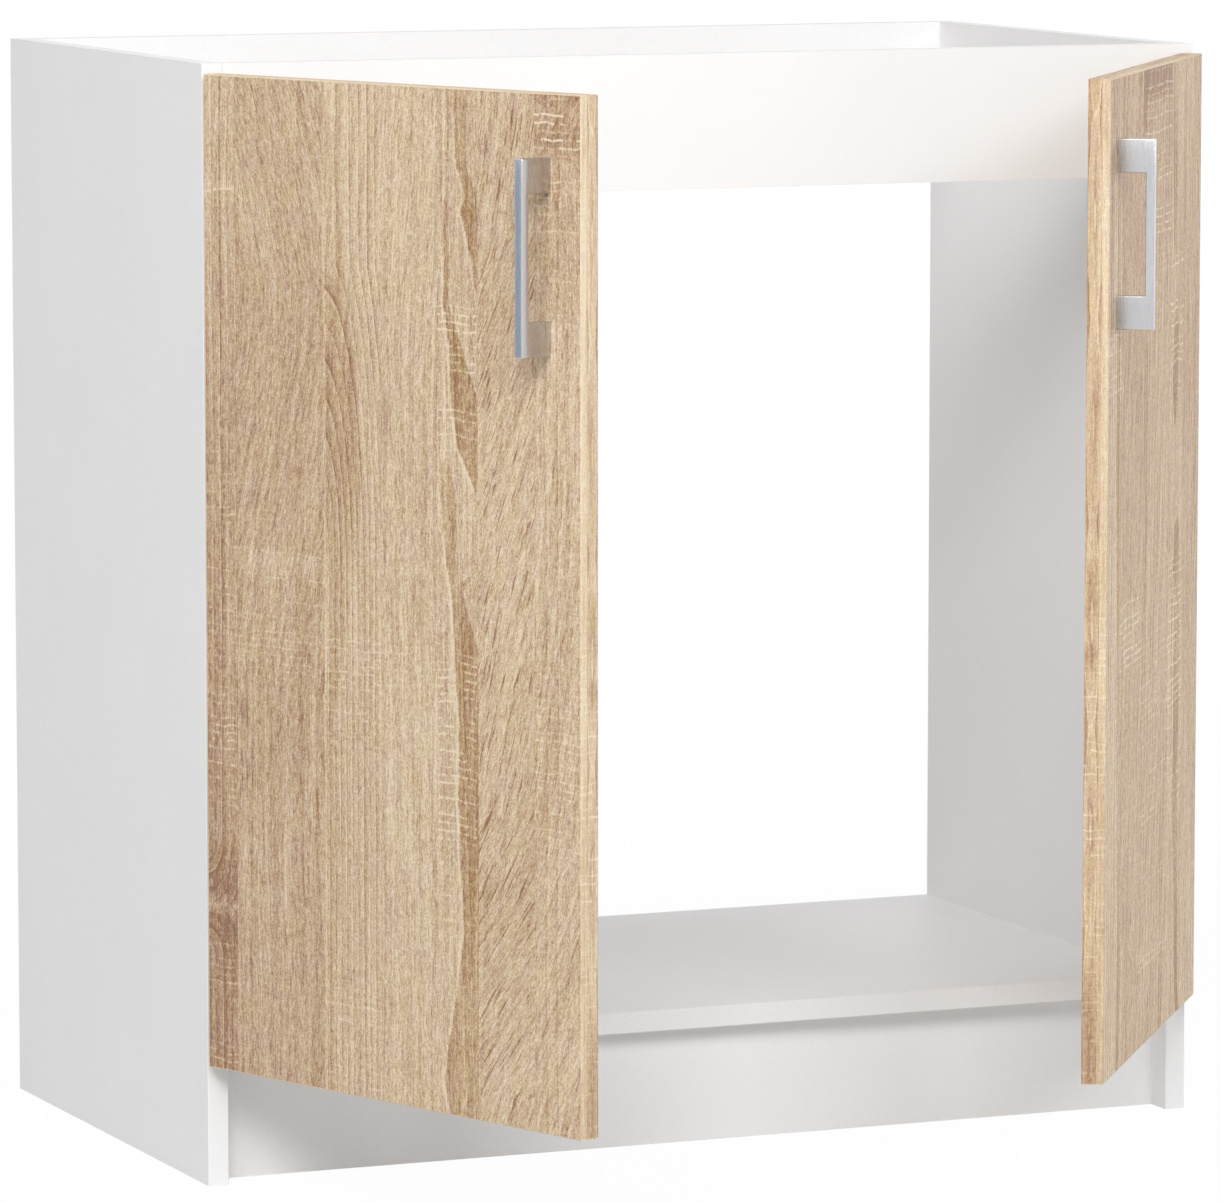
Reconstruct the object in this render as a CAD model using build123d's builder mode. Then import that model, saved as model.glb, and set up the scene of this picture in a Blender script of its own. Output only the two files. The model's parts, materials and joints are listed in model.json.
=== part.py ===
"""Sink base cabinet: open-backed carcass with two doors on concealed cup hinges.

Millimetres. X runs to the right, Y to the back, Z up. The frame sits on the floor at
mid width, in the middle of the plinth board's thickness. The doors are drawn open, at
the angles seen in the photograph.
"""
import os
from math import cos, radians, sin

from build123d import *

os.makedirs("parts", exist_ok=True)

# ---------------------------------------------------------------- carcass sizes
cabinet_width = 800.0
cabinet_height = 820.0
carcass_depth = 430.0
board = 16.0                 # every carcass board and both doors
plinth_height = 89.0
plinth_setback = 24.0        # carcass front to plinth face
bottom_setback = 6.0         # carcass front to the bottom panel's front edge
rail_height = 100.0
band = 0.8                   # edge band thickness
band_arris = 0.5

inner = cabinet_width / 2 - board                   # side panel inner face
front_y = -(plinth_setback + board / 2)             # carcass front plane
back_y = front_y + carcass_depth

# ---------------------------------------------------------------- door sizes
door_gap = 3.0               # closed door to carcass front
door_reveal = 1.5            # door edge to the side panel's outer face
centre_gap = 3.0             # between the two closed doors
door_over_plinth = 1.0       # lower door edge above the plinth's top
door_under_top = 7.0         # upper door edge below the carcass top
door_bottom = plinth_height + door_over_plinth
door_top = cabinet_height - door_under_top
hinge_edge = -(board - door_reveal)                 # in the hinge's own x
free_edge = inner - centre_gap / 2
open_left = 69.7
open_right = 53.3
bumper_r, bumper_from_free_edge, bumper_from_top = 5.0, 25.0, 22.0
bumper_height = door_gap - 0.5

# ---------------------------------------------------------------- handle sizes
handle_height = 137.0
handle_width = 8.0
handle_reach = 27.0
handle_bar = 6.5
handle_leg = 24.5
handle_from_free_edge = 34.0
handle_from_top = 43.5
handle_arris = 0.9
handle_screw_pitch = handle_height - handle_leg
handle_screw_r, handle_screw_bite = 2.0, 12.0       # bite is its length inside the leg
handle_head_r, handle_head_h, handle_head_sunk = 4.0, 2.4, 3.2
handle_x = free_edge - handle_from_free_edge
handle_z = door_top - handle_from_top - handle_height / 2

# ---------------------------------------------------------------- joinery sizes
fit = 0.05                   # radial clearance of a seated round part
press = 0.02                 # radial clearance of a pressed or screwed part
end_room = 0.5               # bore left past the end of what it holds
dowel_r, dowel_length, dowel_in_side = 4.0, 30.0, 10.0
cam_r, cam_height, cam_from_end = 7.45, 12.0, 24.0
cam_slot_length, cam_slot_width, cam_slot_depth = 9.0, 1.8, 1.6
bolt_r, bolt_head_r, bolt_head_length, bolt_in_side = 2.5, 3.3, 3.5, 11.0
bolt_shank = cam_from_end - 4.0                     # from the side panel to the head
bolt_bore_r = 4.0
dowel_spread = 30.0          # rail dowels above and below the cam bolt
plinth_dowel_spread = 25.0
panel_dowel_inset = 60.0     # bottom panel, from carcass front and back
panel_cam_inset = 110.0

# ---------------------------------------------------------------- hinge sizes
# Hinge x runs inwards from the side panel's inner face, hinge y outwards from the
# carcass front; both are given for the closed door.
hinge_below_rail = 40.0
hinge_above_door_bottom = 100.0
upper_hinge_z = cabinet_height - rail_height - hinge_below_rail
lower_hinge_z = door_bottom + hinge_above_door_bottom
hinge_heights = (upper_hinge_z, lower_hinge_z)
turn_x, turn_y = hinge_edge + 6.89, door_gap + 7.96        # the door's turning axis
cup_pin_x, cup_pin_y = turn_x + 3.73, turn_y - 4.81        # guide pin in the cup
arm_pin_x, arm_pin_y = turn_x + 27.61, turn_y + 0.14       # pin at the nose of the arm
turn_axis = (turn_x, turn_y)
arm_axis = (arm_pin_x, arm_pin_y)
link_ratio = -0.218                    # link turn for one turn of the door

cup_r, cup_wall, cup_depth, cup_edge = 17.5, 0.9, 12.2, 5.0
cup_x = hinge_edge + cup_edge + cup_r
cup_floor_gap = 0.3                    # door bore past the cup's floor
flange_r, flange_t = 18.6, 1.2
wing_half, wing_w = 27.5, 14.0
cup_screw_pitch, cup_screw_offset = 45.0, 9.5
cup_screw_r, cup_screw_length, cup_head_r, cup_head_h = 1.7, 12.0, 3.3, 1.2

cup_pin_r, arm_pin_r = 0.8, 1.25
running = 0.05                         # radial clearance of the link on the arm pin
slot_room = 0.7                        # leaves the guide pin room as its path bows
slot_wall = 0.6
slot_r = cup_pin_r + slot_room
slot_ends = [(cup_pin_x, cup_pin_y), (cup_pin_x + 2.76, cup_pin_y + 0.55)]
head_half = 3.1                        # half width of the slotted head, inside the round cup
head_shoulder = 5.0                    # radius about the slot where the link widens
link_half, link_band, link_bow = 4.5, 3.0, 2.7
link_eye_r = 2.4

cheek_gap = 0.4                        # link to arm cheek, and cheek to plate ridge
cheek_t = 1.4
cheek_in = link_half + cheek_gap
cheek_out = cheek_in + cheek_t
arm_back, arm_low, arm_high = -59.0, 2.4, 9.0
arm_web = 1.4
arm_inside = arm_high - arm_web
nose_r = 1.4
clamp_y, adjust_y = -49.0, -31.0       # the arm's two screws
arm_screw_r, arm_screw_length, clamp_head_r, clamp_head_h = 2.0, 7.4, 3.9, 1.6
clamp_slot_length, clamp_slot_width = 9.0, 4.6

plate_t, plate_ridge, plate_pad = 2.0, 5.4, 7.5    # pad is its half size round a screw
plate_corner_r = 3.0
ridge_mid, ridge_length, tapped_depth = -41.0, 38.0, 4.0
plate_drill_y = -37.0
plate_screw_pitch = 32.0
plate_screw_r, plate_head_r, plate_head_h = 2.5, 4.2, 1.8


def from_front(depth):
    """Y of a point this far behind the carcass front."""
    return front_y + depth


def turned(x, y, pivot, degrees):
    """A hinge point after a turn about a pivot, opening direction positive."""
    c, s = cos(radians(degrees)), sin(radians(degrees))
    dx, dy = x - pivot[0], y - pivot[1]
    return pivot[0] + dx * c - dy * s, pivot[1] + dx * s + dy * c


def hinge_frame(side, z, pivot=(0.0, 0.0), degrees=0.0):
    """Level plane in hinge x, y at height z, turned with a door or a link."""
    ox, oy = turned(0.0, 0.0, pivot, degrees)
    c, s = cos(radians(degrees)), sin(radians(degrees))
    return Plane(origin=(side * (inner - ox), front_y - oy, z),
                 x_dir=(-side * c, -s, 0), z_dir=(0, 0, side))


def door_level(side, z, degrees):
    """Level plane that turns with the door."""
    return hinge_frame(side, z, turn_axis, degrees)


def door_face(side, y, degrees):
    """Upright plane parallel to the door, hinge x across and Z up, at depth y."""
    ox, oy = turned(0.0, y, turn_axis, degrees)
    c, s = cos(radians(degrees)), sin(radians(degrees))
    return Plane(origin=(side * (inner - ox), front_y - oy, 0),
                 x_dir=(-side * c, -s, 0), z_dir=(-s, side * c, 0))


def door_section(side, x, y, degrees):
    """Upright plane square to the door at hinge x: away from the door across, Z up."""
    ox, oy = turned(x, y, turn_axis, degrees)
    c, s = cos(radians(degrees)), sin(radians(degrees))
    return Plane(origin=(side * (inner - ox), front_y - oy, 0),
                 x_dir=(side * s, -c, 0), z_dir=(-c, -side * s, 0))


def save(builder, label):
    builder.part.label = label
    export_step(builder.part, f"parts/{label}.step")


# ---------------------------------------------------------------- joint positions
# Each end joint is (depth behind the front, height) on the side panel's inner face.
bottom_mid = plinth_height + board / 2
rail_mid = cabinet_height - rail_height / 2
front_rail_mid = board / 2
rear_rail_mid = carcass_depth - board / 2
plinth_mid = plinth_setback + board / 2
dowel_points = [
    (panel_dowel_inset, bottom_mid), (carcass_depth - panel_dowel_inset, bottom_mid),
    (front_rail_mid, rail_mid - dowel_spread), (front_rail_mid, rail_mid + dowel_spread),
    (rear_rail_mid, rail_mid - dowel_spread), (rear_rail_mid, rail_mid + dowel_spread),
    (plinth_mid, plinth_height / 2 - plinth_dowel_spread),
    (plinth_mid, plinth_height / 2 + plinth_dowel_spread),
]
bottom_cams = [(panel_cam_inset, bottom_mid), (carcass_depth - panel_cam_inset, bottom_mid)]
rail_cams = [(front_rail_mid, rail_mid), (rear_rail_mid, rail_mid)]
plinth_cams = [(plinth_mid, plinth_height / 2)]
cam_points = bottom_cams + rail_cams + plinth_cams
plate_screw_points = [(-plate_drill_y, z + dz) for z in hinge_heights
                      for dz in (-plate_screw_pitch / 2, plate_screw_pitch / 2)]


def end_plane(end, x):
    """Upright plane across X at distance x, facing outwards; its local y is Z."""
    return Plane(origin=(end * x, 0, 0), x_dir=(0, end, 0), z_dir=(end, 0, 0))


def end_spots(end, points):
    """Joint points on an end plane."""
    return [(end * from_front(d), z) for d, z in points]


# ---------------------------------------------------------------- side panels
for side, name in ((-1, "left"), (1, "right")):
    face = end_plane(side, inner)
    with BuildPart() as side_panel:
        with BuildSketch(Plane.YZ.offset(side * inner)):
            with Locations(((front_y + band + back_y) / 2, (cabinet_height - band) / 2)):
                Rectangle(carcass_depth - band, cabinet_height - band)
        extrude(amount=side * board)
        with BuildSketch(face):
            with Locations(*end_spots(side, dowel_points)):
                Circle(dowel_r)
        extrude(amount=dowel_in_side + end_room, mode=Mode.SUBTRACT)
        with BuildSketch(face):
            with Locations(*end_spots(side, cam_points)):
                Circle(bolt_r)
            with Locations(*end_spots(side, plate_screw_points)):
                Circle(plate_screw_r)
        extrude(amount=bolt_in_side + end_room, mode=Mode.SUBTRACT)
    save(side_panel, f"side_panel_{name}")

    with BuildPart() as side_bands:
        with BuildSketch(Plane.YZ.offset(side * inner)):
            with Locations((front_y + band / 2, cabinet_height / 2)):
                Rectangle(band, cabinet_height)
            with Locations(((front_y + band + back_y) / 2, cabinet_height - band / 2)):
                Rectangle(carcass_depth - band, band)
        extrude(amount=side * board)
        chamfer(side_bands.edges().filter_by(Axis.Z).group_by(Axis.Y)[0], band_arris)
    save(side_bands, f"{name}_side_edge_bands")


# ---------------------------------------------------------------- cross members
def end_bores(points, radius, depth):
    """Round bores along X into both ends of a cross member, as one cutting body."""
    with BuildPart() as bores:
        for end in (-1, 1):
            with BuildSketch(end_plane(end, inner + 1)):
                with Locations(*end_spots(end, points)):
                    Circle(radius)
            extrude(amount=-(depth + 1))
    return bores.part


def cross_board(near, low, high, points, cams, cam_face):
    """Upright cross board `near` behind the front, bored for dowels and cams.
    cam_face is +1 when the cams go in from the back face, -1 from the front."""
    with BuildPart() as cross:
        with BuildSketch(Plane.XZ.offset(-from_front(near))):
            with Locations((0, (low + high) / 2)):
                Rectangle(2 * inner, high - low)
        extrude(amount=-board)
        add(end_bores(points, dowel_r, dowel_length - dowel_in_side + end_room), mode=Mode.SUBTRACT)
        add(end_bores(cams, bolt_bore_r, cam_from_end), mode=Mode.SUBTRACT)
        face_y = from_front(near + board) if cam_face > 0 else from_front(near)
        with BuildSketch(Plane.XZ.offset(-face_y)):
            with Locations(*[(e * (inner - cam_from_end), z) for e in (-1, 1) for _, z in cams]):
                Circle(cam_r + fit)
        extrude(amount=cam_face * (cam_height + end_room), mode=Mode.SUBTRACT)
    return cross


with BuildPart() as bottom_panel:
    with BuildSketch(Plane.XY.offset(plinth_height)):
        depth = carcass_depth - bottom_setback - band
        with Locations((0, from_front(bottom_setback + band) + depth / 2)):
            Rectangle(2 * inner, depth)
    extrude(amount=board)
    add(end_bores(dowel_points[0:2], dowel_r, dowel_length - dowel_in_side + end_room),
        mode=Mode.SUBTRACT)
    add(end_bores(bottom_cams, bolt_bore_r, cam_from_end), mode=Mode.SUBTRACT)
    with BuildSketch(Plane.XY.offset(plinth_height)):
        with Locations(*[(e * (inner - cam_from_end), from_front(d))
                         for e in (-1, 1) for d, _ in bottom_cams]):
            Circle(cam_r + fit)
    extrude(amount=cam_height + end_room, mode=Mode.SUBTRACT)
save(bottom_panel, "bottom_panel")

with BuildPart() as bottom_edge_band:
    with BuildSketch(Plane.XY.offset(plinth_height)):
        with Locations((0, from_front(bottom_setback + band / 2))):
            Rectangle(2 * inner, band)
    extrude(amount=board)
    chamfer(bottom_edge_band.edges().filter_by(Axis.X).group_by(Axis.Y)[0], band_arris)
save(bottom_edge_band, "bottom_edge_band")

rail_low, rail_high = cabinet_height - rail_height + band, cabinet_height - band
front_rail = cross_board(0, rail_low, rail_high, dowel_points[2:4], rail_cams[0:1], 1)
save(front_rail, "front_rail")
rear_rail = cross_board(carcass_depth - board, rail_low, rail_high,
                        dowel_points[4:6], rail_cams[1:2], -1)
save(rear_rail, "rear_rail")

for near, name in ((0, "front_rail_edge_bands"), (carcass_depth - board, "rear_rail_edge_bands")):
    with BuildPart() as rail_bands:
        with BuildSketch(Plane.XZ.offset(-from_front(near))):
            with Locations((0, cabinet_height - band / 2),
                           (0, cabinet_height - rail_height + band / 2)):
                Rectangle(2 * inner, band)
        extrude(amount=-board)
    save(rail_bands, name)

plinth_board = cross_board(plinth_setback, 0, plinth_height, dowel_points[6:8], plinth_cams, 1)
save(plinth_board, "plinth_board")

# ---------------------------------------------------------------- joinery fittings
with BuildPart() as dowels:
    for end in (-1, 1):
        with BuildSketch(end_plane(end, inner + dowel_in_side)):
            with Locations(*end_spots(end, dowel_points)):
                Circle(dowel_r - press)
        extrude(amount=-dowel_length)
save(dowels, "dowels")

with BuildPart() as cam_bolts:
    for end in (-1, 1):
        with BuildSketch(end_plane(end, inner + bolt_in_side)):
            with Locations(*end_spots(end, cam_points)):
                Circle(bolt_r - press)
        extrude(amount=-(bolt_in_side + bolt_shank))
        with BuildSketch(end_plane(end, inner - bolt_shank)):
            with Locations(*end_spots(end, cam_points)):
                Circle(bolt_head_r)
        extrude(amount=-bolt_head_length)
save(cam_bolts, "cam_bolts")


def cam_disc(plane, places, bolt_sides):
    """Cam discs drawn on their open face, with a driver slot and a bolt tunnel."""
    with BuildPart() as discs:
        with BuildSketch(plane):
            with Locations(*places):
                Circle(cam_r)
        extrude(amount=-cam_height)
        with BuildSketch(plane):
            with Locations(*places):
                Rectangle(cam_slot_length, cam_slot_width)
        extrude(amount=-cam_slot_depth, mode=Mode.SUBTRACT)
        for (u, v), out in zip(places, bolt_sides):
            start = plane.from_local_coords((u + out * (cam_r + 1), v, -board / 2))
            with BuildSketch(Plane(origin=start, x_dir=plane.y_dir, z_dir=plane.x_dir * -out)):
                Circle(bolt_head_r + end_room)
            extrude(amount=cam_r + 1 + bolt_head_length + end_room, mode=Mode.SUBTRACT)
    return discs.part


under = Plane(origin=(0, 0, plinth_height), x_dir=(1, 0, 0), z_dir=(0, 0, -1))
behind_rail = Plane(origin=(0, from_front(board), 0), x_dir=(-1, 0, 0), z_dir=(0, 1, 0))
before_rail = Plane(origin=(0, from_front(carcass_depth - board), 0), x_dir=(1, 0, 0),
                    z_dir=(0, -1, 0))
behind_plinth = Plane(origin=(0, from_front(plinth_setback + board), 0),
                      x_dir=(-1, 0, 0), z_dir=(0, 1, 0))
cam_reach = inner - cam_from_end
with BuildPart() as cam_locks:
    add(cam_disc(under, [(e * cam_reach, -from_front(d)) for e in (-1, 1) for d, _ in bottom_cams],
                 [-1, -1, 1, 1]))
    for face, height in ((behind_rail, rail_mid), (before_rail, rail_mid),
                         (behind_plinth, plinth_height / 2)):
        add(cam_disc(face, [(-cam_reach, height), (cam_reach, height)], [-1, 1]))
save(cam_locks, "cam_locks")

# ---------------------------------------------------------------- hinge pieces
for side, name, opened in ((-1, "left", open_left), (1, "right", open_right)):
    into_door = -side                  # sense of a door plane's normal towards the outside
    level_pin_half = ((cup_r - 0.1) ** 2 - (cup_x - cup_pin_x + cup_pin_r) ** 2) ** 0.5
    for z, level in ((upper_hinge_z, "upper"), (lower_hinge_z, "lower")):
        at = hinge_frame(side, z)

        # winged plate screwed to the side panel, with the ridge the arm slides over
        with BuildPart() as mounting_plate:
            with BuildSketch(at):
                with Locations((plate_t / 2, plate_drill_y)):
                    Rectangle(plate_t, 2 * plate_pad)
            extrude(amount=plate_screw_pitch / 2 + plate_pad, both=True)
            with BuildSketch(at):
                with Locations((plate_ridge / 2, ridge_mid)):
                    Rectangle(plate_ridge, ridge_length)
            extrude(amount=cheek_in - cheek_gap, both=True)
            bores = Plane(origin=at.from_local_coords((plate_t, plate_drill_y, 0)),
                          x_dir=(0, 0, 1), z_dir=at.x_dir)
            with BuildSketch(bores):
                with Locations((-plate_screw_pitch / 2, 0), (plate_screw_pitch / 2, 0)):
                    Circle(plate_screw_r + fit)
            extrude(amount=-plate_t, mode=Mode.SUBTRACT)
            tapped = Plane(origin=at.from_local_coords((plate_ridge, 0, 0)),
                           x_dir=at.y_dir, z_dir=at.x_dir)
            with BuildSketch(tapped):
                with Locations((clamp_y, 0), (adjust_y, 0)):
                    Circle(arm_screw_r)
            extrude(amount=-tapped_depth, mode=Mode.SUBTRACT)
            corners = mounting_plate.edges().filter_by(Axis.X).group_by(Axis.Z)
            fillet(corners[0] + corners[-1], plate_corner_r)
        save(mounting_plate, f"{name}_{level}_mounting_plate")

        # folded arm: two cheeks and a web, rising to the nose that carries the pin
        with BuildPart() as hinge_arm:
            with BuildSketch(at):
                with BuildLine():
                    Polyline((arm_low, arm_back), (arm_low, -9), (arm_low + 3.1, -3),
                             (arm_pin_x - 2.6, arm_pin_y + 1.1), (arm_pin_x, arm_pin_y + 2.5),
                             (arm_pin_x + 2.5, arm_pin_y), (arm_pin_x + 2, arm_pin_y - 2.9),
                             (arm_high + 3.5, -12), (arm_high, -17), (arm_high, arm_back),
                             close=True)
                make_face()
            extrude(amount=cheek_out, both=True)
            nose = hinge_arm.edges().filter_by(Axis.Z).filter_by(
                lambda e: at.to_local_coords(e.center()).Y > arm_pin_y - 4)
            fillet(nose, nose_r)
            with BuildSketch(at):
                with BuildLine():
                    Polyline((0, arm_back - 1), (arm_inside, arm_back - 1), (arm_inside, -16.6),
                             (arm_inside + 3.5, -11.7), (arm_pin_x - 1.8, arm_pin_y - 7.7),
                             (arm_pin_x + 6, arm_pin_y - 6.6), (arm_pin_x + 6, arm_pin_y + 9),
                             (0, arm_pin_y + 9), close=True)
                make_face()
            extrude(amount=cheek_in, both=True, mode=Mode.SUBTRACT)
            with BuildSketch(at):
                with Locations(arm_axis):
                    Circle(arm_pin_r + press)
            extrude(amount=cheek_out, both=True, mode=Mode.SUBTRACT)
            web = Plane(origin=at.from_local_coords((arm_high, 0, 0)), x_dir=at.y_dir,
                        z_dir=at.x_dir)
            with BuildSketch(web):
                with Locations((clamp_y, 0)):
                    SlotOverall(clamp_slot_length, clamp_slot_width)
                with Locations((adjust_y, 0)):
                    Circle(arm_screw_r)
            extrude(amount=-arm_web, mode=Mode.SUBTRACT)
        save(hinge_arm, f"{name}_{level}_hinge_arm")

        # link from the arm's nose to the cup: a bowed strip with an eye at the arm pin
        # and a narrower head, whose slot the guide pin runs in
        linked = hinge_frame(side, z, arm_axis, link_ratio * opened)
        with BuildPart() as link:
            with BuildSketch(linked):
                with BuildLine() as spine:
                    SagittaArc(arm_axis, slot_ends[0], -link_bow)
                trace(line_width=link_band)
                with Locations(arm_axis):
                    Circle(link_eye_r)
                with Locations(slot_ends[1]):
                    Circle(head_shoulder, mode=Mode.SUBTRACT)
            extrude(amount=link_half, both=True)
            with BuildSketch(linked):
                add(spine.line)
                trace(line_width=link_band)
                with Locations(arm_axis):
                    Circle(link_eye_r)
                with BuildLine() as slot_line:
                    Line(*slot_ends)
                trace(line_width=2 * (slot_r + slot_wall))
                with Locations(*slot_ends):
                    Circle(slot_r + slot_wall)
            extrude(amount=head_half, both=True)
            with BuildSketch(linked):
                with Locations(arm_axis):
                    Circle(arm_pin_r + running)
                with BuildLine():
                    Line(*slot_ends)
                trace(line_width=2 * slot_r)
                with Locations(*slot_ends):
                    Circle(slot_r)
            extrude(amount=link_half, both=True, mode=Mode.SUBTRACT)
        save(link, f"{name}_{level}_link")

        # cup pressed into the door, with a winged flange
        mouth = door_face(side, door_gap, opened)
        rim = mouth.offset(-into_door * flange_t)
        with BuildPart() as cup:
            with BuildSketch(mouth):
                with Locations((cup_x, z)):
                    Circle(cup_r)
            extrude(amount=into_door * cup_depth)
            with BuildSketch(mouth):
                with Locations((cup_x, z)):
                    Circle(flange_r)
                with Locations((cup_x + cup_screw_offset, z)):
                    SlotOverall(2 * wing_half, wing_w, rotation=90)
            extrude(amount=-into_door * flange_t)
            with BuildSketch(rim):
                with Locations((cup_x, z)):
                    Circle(cup_r - cup_wall)
            extrude(amount=into_door * (cup_depth + flange_t - cup_wall), mode=Mode.SUBTRACT)
            with BuildSketch(rim):
                with Locations((cup_x + cup_screw_offset, z - cup_screw_pitch / 2),
                               (cup_x + cup_screw_offset, z + cup_screw_pitch / 2)):
                    Circle(cup_screw_r + fit)
            extrude(amount=into_door * flange_t, mode=Mode.SUBTRACT)
            with BuildSketch(door_level(side, z, opened)):
                with Locations((cup_pin_x, cup_pin_y)):
                    Circle(cup_pin_r + press)
            extrude(amount=cup_r, both=True, mode=Mode.SUBTRACT)
        save(cup, f"{name}_{level}_cup")

    # ------------------------------------------------------------ hinge fasteners
    with BuildPart() as plate_screws:
        for z in hinge_heights:
            seat = Plane(origin=hinge_frame(side, z).from_local_coords((plate_t, plate_drill_y, 0)),
                         x_dir=(0, 0, 1), z_dir=(-side, 0, 0))
            spots = [(-plate_screw_pitch / 2, 0), (plate_screw_pitch / 2, 0)]
            with BuildSketch(seat):
                with Locations(*spots):
                    Circle(plate_head_r)
            extrude(amount=plate_head_h)
            with BuildSketch(seat):
                with Locations(*spots):
                    Circle(plate_screw_r - press)
            extrude(amount=-(plate_t + bolt_in_side))
    save(plate_screws, f"{name}_plate_screws")

    with BuildPart() as arm_screws:
        for z in hinge_heights:
            at = hinge_frame(side, z)
            seat = Plane(origin=at.from_local_coords((arm_high, 0, 0)), x_dir=at.y_dir,
                         z_dir=at.x_dir)
            with BuildSketch(seat):
                with Locations((clamp_y, 0)):
                    Circle(clamp_head_r)
            extrude(amount=clamp_head_h)
            with BuildSketch(seat):
                with Locations((clamp_y, 0), (adjust_y, 0)):
                    Circle(arm_screw_r - press)
            extrude(amount=-arm_screw_length)
    save(arm_screws, f"{name}_arm_screws")

    with BuildPart() as arm_pins:
        for z in hinge_heights:
            with BuildSketch(hinge_frame(side, z)):
                with Locations(arm_axis):
                    Circle(arm_pin_r)
            extrude(amount=cheek_out, both=True)
    save(arm_pins, f"{name}_arm_pins")

    with BuildPart() as cup_pins:
        for z in hinge_heights:
            with BuildSketch(door_level(side, z, opened)):
                with Locations((cup_pin_x, cup_pin_y)):
                    Circle(cup_pin_r)
            extrude(amount=level_pin_half, both=True)
    save(cup_pins, f"{name}_cup_pins")

    flange_top = door_face(side, door_gap - flange_t, opened)
    cup_screw_spots = [(cup_x + cup_screw_offset, z + dz) for z in hinge_heights
                       for dz in (-cup_screw_pitch / 2, cup_screw_pitch / 2)]
    with BuildPart() as cup_screws:
        with BuildSketch(flange_top):
            with Locations(*cup_screw_spots):
                Circle(cup_head_r)
        extrude(amount=-into_door * cup_head_h)
        with BuildSketch(flange_top):
            with Locations(*cup_screw_spots):
                Circle(cup_screw_r)
        extrude(amount=into_door * cup_screw_length)
    save(cup_screws, f"{name}_cup_screws")

    # ------------------------------------------------------------ door
    inner_face = door_face(side, door_gap, opened)
    outer_face = door_face(side, door_gap + board, opened)
    mid_x, mid_z = (hinge_edge + free_edge) / 2, (door_bottom + door_top) / 2
    door_width, door_height = free_edge - hinge_edge, door_top - door_bottom
    screw_spots = [(handle_x, handle_z - handle_screw_pitch / 2),
                   (handle_x, handle_z + handle_screw_pitch / 2)]
    with BuildPart() as door:
        with BuildSketch(inner_face):
            with Locations((mid_x, mid_z)):
                Rectangle(door_width - 2 * band, door_height - 2 * band)
        extrude(amount=into_door * board)
        with BuildSketch(inner_face):
            with Locations(*[(cup_x, z) for z in hinge_heights]):
                Circle(cup_r + fit)
        extrude(amount=into_door * (cup_depth + cup_floor_gap), mode=Mode.SUBTRACT)
        with BuildSketch(inner_face):
            with Locations(*cup_screw_spots):
                Circle(cup_screw_r)
        extrude(amount=into_door * (cup_screw_length - flange_t + end_room), mode=Mode.SUBTRACT)
        with BuildSketch(inner_face):
            with Locations(*screw_spots):
                Circle(handle_screw_r + end_room)
        extrude(amount=into_door * board, mode=Mode.SUBTRACT)
        with BuildSketch(inner_face):
            with Locations(*screw_spots):
                Circle(handle_head_r + end_room)
        extrude(amount=into_door * handle_head_sunk, mode=Mode.SUBTRACT)
    save(door, f"{name}_door")

    with BuildPart() as door_bands:
        with BuildSketch(inner_face):
            with Locations((mid_x, mid_z)):
                Rectangle(door_width, door_height)
                Rectangle(door_width - 2 * band, door_height - 2 * band, mode=Mode.SUBTRACT)
        extrude(amount=into_door * board)
        outline = []
        for e in door_bands.edges():
            p = outer_face.to_local_coords(e.center())
            rim_x = abs(abs(p.X - mid_x) - door_width / 2) < 0.01
            rim_z = abs(abs(p.Y - mid_z) - door_height / 2) < 0.01
            if abs(p.Z) < 0.01 and (rim_x or rim_z):
                outline.append(e)
        chamfer(outline, band_arris)
    save(door_bands, f"{name}_door_edge_bands")

    with BuildPart() as handle:
        with BuildSketch(door_section(side, handle_x, door_gap + board, opened)):
            with Locations((handle_reach / 2, handle_z)):
                Rectangle(handle_reach, handle_height)
            with Locations(((handle_reach - handle_bar) / 2, handle_z)):
                Rectangle(handle_reach - handle_bar, handle_height - 2 * handle_leg,
                          mode=Mode.SUBTRACT)
        extrude(amount=handle_width / 2, both=True)
        feet = handle.faces().filter_by(
            lambda f: abs(outer_face.to_local_coords(f.center()).Z) < 0.01)
        foot_edges = [e for f in feet for e in f.edges()]
        soft = [e for e in handle.edges()
                if all((e.center() - g.center()).length > 0.01 for g in foot_edges)]
        chamfer(soft, handle_arris)
        with BuildSketch(outer_face):
            with Locations(*screw_spots):
                Circle(handle_screw_r + press)
        extrude(amount=into_door * (handle_screw_bite + end_room), mode=Mode.SUBTRACT)
    save(handle, f"{name}_handle")

    with BuildPart() as handle_screws:
        seat = door_face(side, door_gap + handle_head_sunk, opened)
        with BuildSketch(seat):
            with Locations(*screw_spots):
                Circle(handle_head_r)
        extrude(amount=-into_door * handle_head_h)
        with BuildSketch(seat):
            with Locations(*screw_spots):
                Circle(handle_screw_r)
        extrude(amount=into_door * (board - handle_head_sunk + handle_screw_bite))
    save(handle_screws, f"{name}_handle_screws")

    bumper_z = door_top - bumper_from_top
    with BuildPart() as bumpers:
        with BuildSketch(inner_face):
            with Locations((free_edge - bumper_from_free_edge, bumper_z), (mid_x, bumper_z)):
                Circle(bumper_r)
        extrude(amount=-into_door * bumper_height, taper=15)
    save(bumpers, f"{name}_door_bumpers")

print("cup centre", cup_x, "handle screw pitch", handle_screw_pitch)
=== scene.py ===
# %% [markdown]
# # A sink base cabinet in white and sawn oak decor
# The cabinet comes in as a finished CAD frame: boards, hinges, screws and handles are
# already at their real size and place. What is left is what the eye reads as material and
# workmanship. So this notebook sets the camera and light first, then makes each finish,
# and last models the few pieces whose rounded edges and recesses the CAD leaves plain.

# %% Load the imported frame
import json
import math
import bpy
import bmesh
from mathutils import Matrix, Vector

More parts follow.
